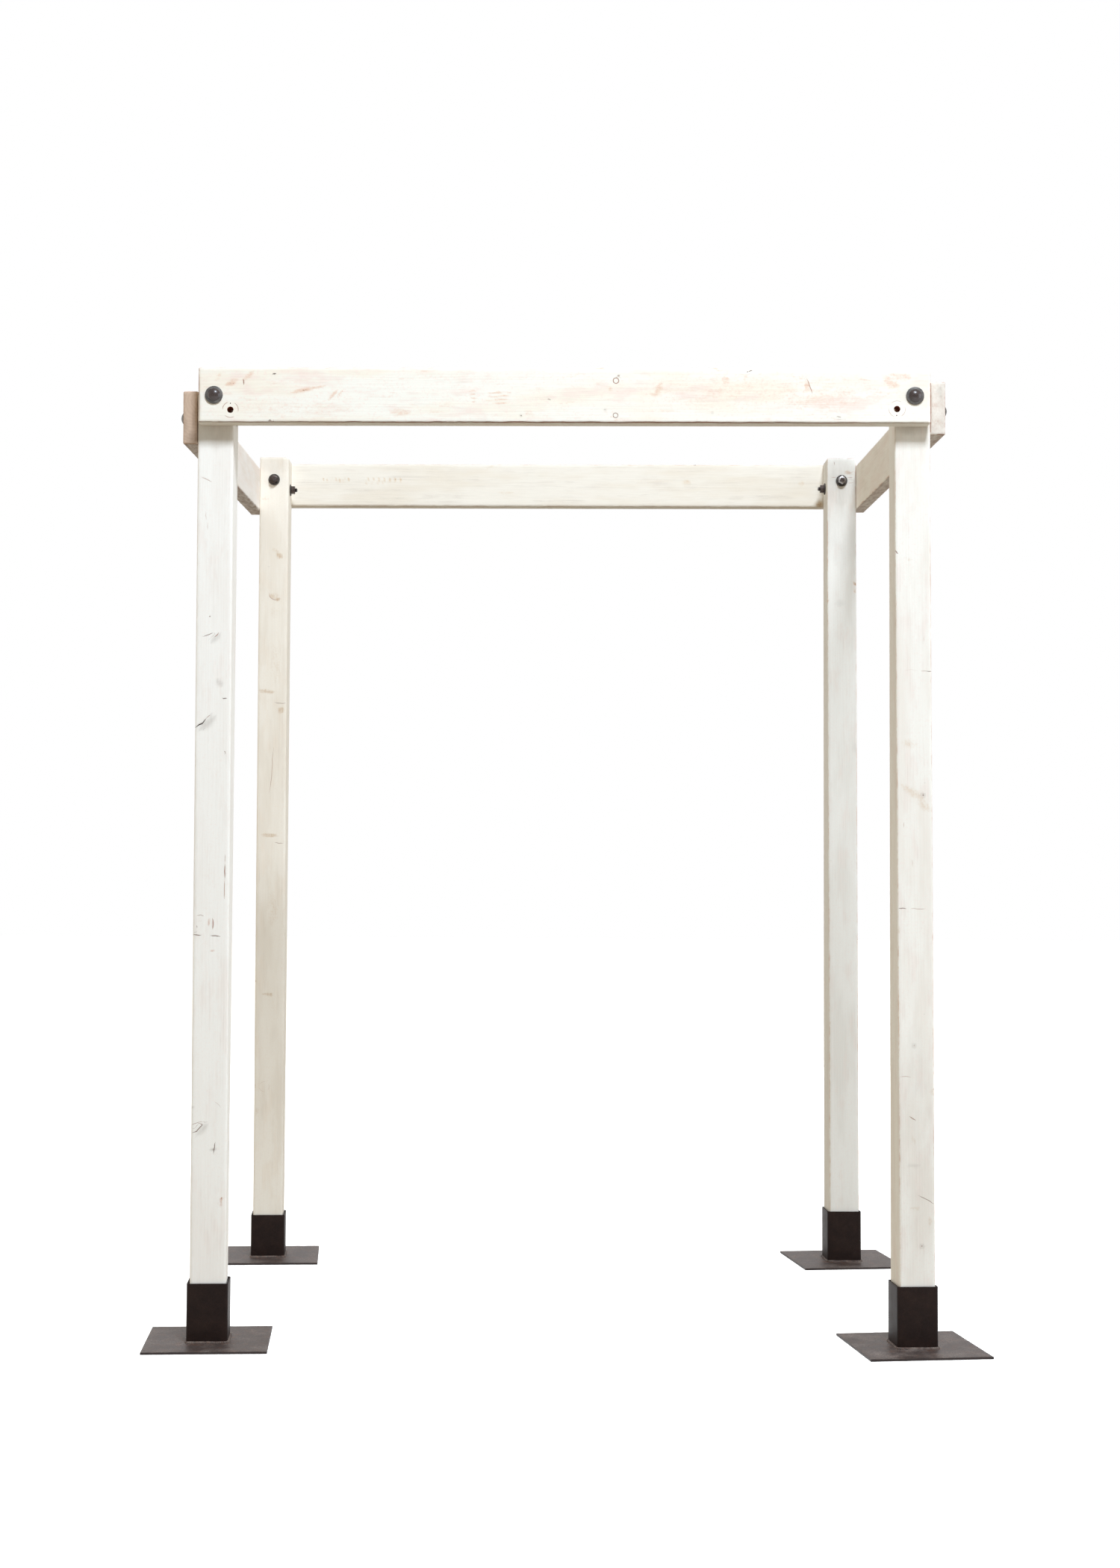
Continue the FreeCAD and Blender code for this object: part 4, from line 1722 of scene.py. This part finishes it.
    def front_left_post(self) -> Timber:
        """The front left post, with the deepest cracks.

        Returns:
            The post.
        """
        marks = [
            CrackAndShadowLine(((1520, -44.4), (1530, -32), (1527, -29.5), (1543, -17)), 2.6, 0.0, stray=0.03),
            # The patches at 1531 and 1552 paint the shade below a lifted splinter.
            CrackAndShadowLine(((1543, -17), (1549, -11), (1553, -6)), 1.0, 0.8), SoilAndShade(1531, -14, 60, 18, 0.4, 49),
            SoilAndShade(1552, -4, 14, 5, 0.35),
            CrackAndShadowLine(((1748, -26), (1753, -12), (1758, -2)), 1.3, 0.4, stray=0.04),
            # The patch at 1744 paints the shade below a lifted splinter.
            CrackAndShadowLine(((1746, 1), (1751, 8), (1759, 13)), 1.2, 0.9), SoilAndShade(1744, 5, 34, 14, 0.35, 45),
            CrackAndShadowLine(((518, -42), (521, -31), (544, -10.5)), 1.6, 0.35, stray=0.04),
            CrackAndShadowLine(((544, -10.5), (545, -5)), 1.0, 0.6),
            # The patch at 526 paints the shade below a lifted splinter.
            CrackAndShadowLine(((537, -44.4), (542, -31), (545, -15)), 0.8, 0.8), SoilAndShade(526, -17, 44, 14, 0.35, 43),
            CrackAndShadowLine(((1006, -44.4), (1004.5, -24)), 1.8, 0.35), CrackAndShadowLine(((1004, -1), (1002, 23)), 1.8, 0.35),
            CrackAndShadowLine(((1053, -36), (1055, -26), (1052, -17)), 0.8, 0.7),
            CrackAndShadowLine(((1028, -35), (1022, -35)), 1.2, 0.5),
            CrackAndShadowLine(((1046, 4), (1034, 5), (1020, 4)), 2.2, 0.95, stray=0.02), Smear(1036, -6, 22, 7, 0.5),
            # The patch at 2262 paints the shadow that the front beam casts on the top of the post.
            Smear(967, 5, 6, 14, 0.5), SoilAndShade(2262, 0, 84, 130, 0.26),
            CrackAndShadowLine(((1206, 33), (1184, 33)), 1.0, 1.3, stray=0.02),
            CrackAndShadowLine(((1180, 33), (1146, 33)), 2.0, 0.8, stray=0.02),
            CrackAndShadowLine(((1142, 33), (1094, 32)), 1.3, 1.15, stray=0.02),
            CrackAndShadowLine(((1593.5, 24), (1594, 33)), 2.0, 0.2), SoilAndShade(1633, 15, 28, 12, 0.32, -42),
            CrackAndShadowLine(((1462, 28), (1460, 32), (1455, 31)), 1.2, 0.7), Ring(1799, -10, 0.8, 1.8, 0.5),
            CrackAndShadowLine(((495, 15), (484, 14), (478, 12.5), (467, 11)), 1.6, 0.3), SoilAndShade(478, 10, 5, 12, 0.7),
            CrackAndShadowLine(((595, 12), (579, 29)), 0.9, 1.6), SoilAndShade(580, -42, 10, 8, 0.4),
            Smear(357, 32, 12, 8, 0.95), Smear(344, 29, 22, 12, 0.5),
            CrackAndShadowLine(((2150, -36), (2146, -26), (2137, -8)), 1.2, 1.25),
            CrackAndShadowLine(((2062, -22), (2040, -22)), 0.9, 1.5), CrackAndShadowLine(((2034, -18), (2016, -18)), 0.9, 1.5),
            Smear(1900, 4, 180, 60, 0.12), Smear(1180, -6, 320, 50, 0.14),
        ]
        return self.post("front_left", Finishes.FRONT_LEFT_POST, marks=marks, twist=-5.0)

    def front_right_post(self) -> Timber:
        """The front right post, with a broad knot smear and a rubbed inner edge.

        Returns:
            The post.
        """
        marks = [
            CrackAndShadowLine(((1968, -44.4), (1960, -38)), 2.0, 0.5), Smear(1948, -15, 34, 10, 0.38, -65),
            CrackAndShadowLine(((1757, 26), (1740, 26)), 0.7, 1.6), CrackAndShadowLine(((1668, 30), (1667.5, 44.4)), 1.3, 0.35),
            CrackAndShadowLine(((1668, 18), (1668, 30)), 0.7, 0.9), CrackAndShadowLine(((1669, -26), (1668.5, 14)), 0.5, 1.7),
            Smear(1486, -10, 60, 26, 0.3, -75), Smear(1366, -4, 84, 22, 0.5, -57),
            Smear(1335, 22, 56, 24, 0.42, -50), Ring(1360.6, 21.5, 0.5, 6.5, 0.35),
            Ring(1390, 25, 0.6, 1.4, 0.9), CrackAndShadowLine(((1293, -27), (1280, -27)), 0.8, 1.2),
            CrackAndShadowLine(((1201, -7), (1182, -7)), 0.7, 1.4), CrackAndShadowLine(((1080, -42), (1079.5, -22)), 1.4, 0.35),
            CrackAndShadowLine(((1079.5, -14), (1080, 28)), 0.7, 0.95), Smear(1026, -42, 16, 6, 0.6),
            Smear(932, -43, 7, 5, 0.8), Smear(826, -43, 160, 5, 0.42), Ring(1030, 15, 0.6, 1.2, 0.9),
            Ring(1008, 17, 0.6, 1.2, 0.9), Ring(821, 20, 0.6, 1.4, 0.7), Ring(742, -6, 0.5, 5.0, 0.9),
            CrackAndShadowLine(((667, -41), (666, -14)), 1.2, 1.5), CrackAndShadowLine(((569, -18), (563, -8), (560, -2)), 1.5, 0.8),
            Smear(629, 40, 24, 12, 0.45), CrackAndShadowLine(((640, 42), (634, 44)), 1.2, 0.3),
            Smear(515, -12, 34, 4, 0.42), Smear(508, -6, 26, 3, 0.38), SoilAndShade(450, -7, 44, 12, 0.32, -80),
            CrackAndShadowLine(((378, 2), (370, 18), (356, 43)), 1.1, 0.45), Smear(345, -3, 32, 9, 0.42, -85),
            Smear(314, 32, 26, 12, 0.4), Ring(253, 11.4, 0.5, 5.5, 0.6), SoilAndShade(460, 0, 700, 130, 0.14),
            # The patch at 2282 paints the shadow that the front beam casts on the top of the post.
            SoilAndShade(2282, 0, 50, 130, 0.34),
        ]
        return self.post("front_right", Finishes.FRONT_RIGHT_POST, marks=marks, twist=-6.0,
                         worn_faces={Face.BOTTOM: 0.16})

    def rear_left_post(self) -> Timber:
        """The rear left post, yellowed, with knots under the coat.

        Returns:
            The post.
        """
        marks = [
            Smear(2316, -28, 28, 10, 0.45, -85), Smear(2140, 18, 28, 18, 0.6, -60),
            Smear(2152, 9, 40, 14, 0.42, -50), Ring(2106, -14, 0.8, 1.6, 1.0), Smear(2036, -39, 12, 6, 0.5),
            CrackAndShadowLine(((2024, -12), (2012, -10), (2004, 2), (2003, 16)), 1.6, 1.25),
            Smear(2016, 2, 24, 30, 0.42), Smear(2005, 14, 12, 18, 0.6), Smear(1964, 4, 50, 44, 0.2),
            Smear(1721, -18, 58, 14, 0.6, -84), CrackAndShadowLine(((1688, 8), (1685, 20), (1686, 42)), 1.0, 0.5),
            Smear(1664, 28, 24, 22, 0.55, -60),
            CrackAndShadowLine(((1550, 6), (1480, 1), (1406, -8)), 0.9, 0.95, stray=0.03),
            Smear(1281, -4, 66, 11, 0.62, -88), CrackAndShadowLine(((1259, 11), (1257, 38)), 1.0, 0.6),
            Smear(837, -44, 8, 5, 0.9), Smear(797, -3, 44, 12, 0.55, -84), Ring(518, -14, 15.0, 0.8, 1.7),
            Smear(446, -36, 30, 16, 0.34), Smear(1060, 6, 140, 50, 0.24), Smear(1800, 10, 160, 50, 0.22),
            SoilAndShade(2420, 0, 60, 90, 0.16),
        ]
        return self.post("rear_left", Finishes.REAR_LEFT_POST, marks=marks, twist=-3.0,
                         blunt=((Face.START, Face.TOP, 7 * MM),))

    def rear_right_post(self) -> Timber:
        """The rear right post, rubbed round its nut.

        Returns:
            The post.
        """
        marks = [
            Smear(2400, 18, 24, 12, 0.6, -80), CrackAndShadowLine(((2402, 15), (2401, 38)), 0.9, 1.3, stray=0.02),
            CrackAndShadowLine(((2385, 18), (2384, 38)), 1.0, 1.2, stray=0.02),
            CrackAndShadowLine(((2368, 20), (2369, 38)), 0.9, 1.3, stray=0.02),
            # The two broad patches at 2380 and 2230 paint shade on the upper post, where the right side
            # beam shades it.
            CrackAndShadowLine(((2385, -30), (2386, -16)), 1.2, 1.3, stray=0.02), SoilAndShade(2380, 0, 200, 130, 0.3),
            SoilAndShade(2230, 0, 270, 130, 0.16), CrackAndShadowLine(((2433, -22), (2424, -22)), 1.2, 0.7),
            Smear(2056, 42, 14, 6, 0.8), Smear(2034, 42, 10, 6, 0.7), Smear(2004, -43, 10, 5, 0.7),
            SoilAndShade(1555, 38, 40, 10, 0.2), SoilAndShade(1998, -7, 24, 24, 0.14), Smear(720, -40, 18, 5, 0.6),
            Ring(1213, -38, 0.8, 1.8, 0.8),
        ]
        return self.post("rear_right", Finishes.REAR_RIGHT_POST, marks=marks, twist=-4.0,
                         worn_faces={Face.BOTTOM: 0.18},
                         blunt=((Face.START, Face.TOP, 11 * MM), (Face.START, Face.BOTTOM, 5 * MM)))

    def build(self) -> None:
        """Builds every timber in turn, bored for its bolts, and then the bolts."""
        for timber in (self.front_beam(), self.rear_beam(), self.left_beam(), self.right_beam(),
                       self.front_left_post(), self.front_right_post(),
                       self.rear_left_post(), self.rear_right_post()):
            for pair in self.bolts.values():
                for seat in pair.seats():
                    timber.pierce(seat, pair.span("bolts")[1])
            timber.build()
        for pair in self.bolts.values():
            pair.build()


@dataclass(frozen=True)
class Viewpoint:
    """Where the picture is taken from: a little left of the middle, looking slightly up."""

    place: Triple = (-0.0803, -5.971, 1.132)
    yaw: float = 0.01596
    pitch: float = 0.04716
    roll: float = -0.00497
    focal_px: float = 2873.0
    axis_px: float = 665.3
    image: tuple[int, int] = (1500, 2100)
    sensor: float = 36.0

    def set_up(self) -> None:
        """Adds the camera and makes it the scene's own."""
        data = bpy.data.cameras.new("viewpoint")
        data.sensor_width = self.sensor
        data.lens = self.focal_px * self.sensor / max(self.image)
        data.shift_x = (0.5 * self.image[0] - self.axis_px) / max(self.image)
        camera = bpy.data.objects.new("viewpoint", data)
        bpy.context.scene.collection.objects.link(camera)
        turn = Matrix.Rotation(self.yaw, 3, "Z") @ Matrix.Rotation(self.pitch, 3, "X")
        turn = turn @ Matrix.Rotation(self.roll, 3, "Y")
        right, ahead, up = turn.transposed()
        axes = Matrix((right, up, -ahead)).transposed().to_4x4()
        camera.matrix_world = Matrix.Translation(self.place) @ axes
        bpy.context.scene.camera = camera


@dataclass(frozen=True)
class Lamp:
    """A square lamp, which shiny pieces may mirror."""

    name: str
    place: Triple
    side: float
    watts: float
    tone: Triple = (0.80, 0.89, 1.0)
    mirrored: bool = True

    def hang(self, aim: Triple) -> None:
        """Adds the lamp to the scene.

        Args:
            aim: What it looks at.
        """
        data = bpy.data.lights.new(self.name, "AREA")
        data.energy = self.watts
        data.color = self.tone
        data.size = self.side
        lamp = bpy.data.objects.new(self.name, data)
        bpy.context.scene.collection.objects.link(lamp)
        lamp.location = self.place
        lamp.visible_glossy = self.mirrored
        way = Vector(aim) - Vector(self.place)
        lamp.rotation_euler = way.to_track_quat("-Z", "Y").to_euler()


@dataclass(frozen=True)
class Studio:
    """A pale floor, warm light all round, a lamp high in front, weak ones at the sides and behind."""

    floor_side: float = 80.0
    floor_tone: Colour = srgb(244, 244, 243)
    bounce_tone: Colour = srgb(172, 161, 144)
    lift: float = 0.8
    sky: float = 0.36
    sky_tone: Colour = (1.0, 0.91, 0.74, 1.0)
    aim: Triple = (0.0, 0.0, 1.6)
    lamps: tuple[Lamp, ...] = (
        Lamp("lamp", (1.35, -5.1, 8.0), 1.8, 680.0),
        Lamp("right_fill", (7.0, -2.5, 3.0), 5.0, 210.0),
        Lamp("left_fill", (-7.0, 0.6, 2.4), 5.0, 112.0, (1.0, 0.94, 0.82)),
        Lamp("back_fill", (0.0, 7.0, 3.2), 5.0, 140.0, mirrored=False),
    )

    def seen(self, graph: Graph) -> Value:
        """One for rays that show the background: from the camera, in gloss or through glass."""
        rays = graph.node("ShaderNodeLightPath", None, None, "Is Camera Ray")
        return rays.at_least(rays.output("Is Glossy Ray")).at_least(rays.output("Is Transmission Ray"))

    def floor(self) -> None:
        """The floor, which reads white and keeps the shadows."""
        floor = Bench.add("studio_floor", "plane", size=self.floor_side)
        material, graph = new_material("studio_floor")
        seen = self.seen(graph)
        pale = graph.node("ShaderNodeBsdfDiffuse", None, {"Color": self.floor_tone})
        glow = graph.node("ShaderNodeEmission", None, {"Color": WHITE, "Strength": self.lift})
        shown = graph.node("ShaderNodeAddShader", None, {0: pale, 1: glow})
        plain = graph.node("ShaderNodeBsdfDiffuse", None, {"Color": self.bounce_tone})
        both = graph.node("ShaderNodeMixShader", None, {0: seen, 1: plain, 2: shown})
        graph.node("ShaderNodeOutputMaterial", None, {"Surface": both})
        floor.data.materials.append(material)

    def light(self) -> None:
        """The even light and the lamps."""
        world = bpy.data.worlds.new("studio")
        world.use_nodes = True
        graph = Graph(world.node_tree)
        seen = self.seen(graph)
        level = self.sky + seen * (1.0 - self.sky)
        tone = graph.mix(seen, self.sky_tone, WHITE)
        sky = graph.node("ShaderNodeBackground", None, {"Color": tone, "Strength": level})
        graph.node("ShaderNodeOutputWorld", None, {"Surface": sky})
        bpy.context.scene.world = world
        for lamp in self.lamps:
            lamp.hang(self.aim)

    def set_up(self) -> None:
        """Adds the floor and the light, and fixes how the picture is read."""
        self.floor()
        self.light()
        bpy.context.scene.view_settings.view_transform = "Standard"


def main() -> None:
    """Builds the arch and its studio."""
    logging.basicConfig(level=logging.INFO, format="%(name)s: %(message)s")
    bpy.ops.object.select_all(action="DESELECT")
    Frame().build()
    for corner, plate_turn, socket_turn in FEET:
        Foot(corner, plate_turn, socket_turn, Finishes.PLATE, Finishes.SOCKET, Finishes.WELD).build()
    Studio().set_up()
    Viewpoint().set_up()


if __name__ == "__main__":
    main()
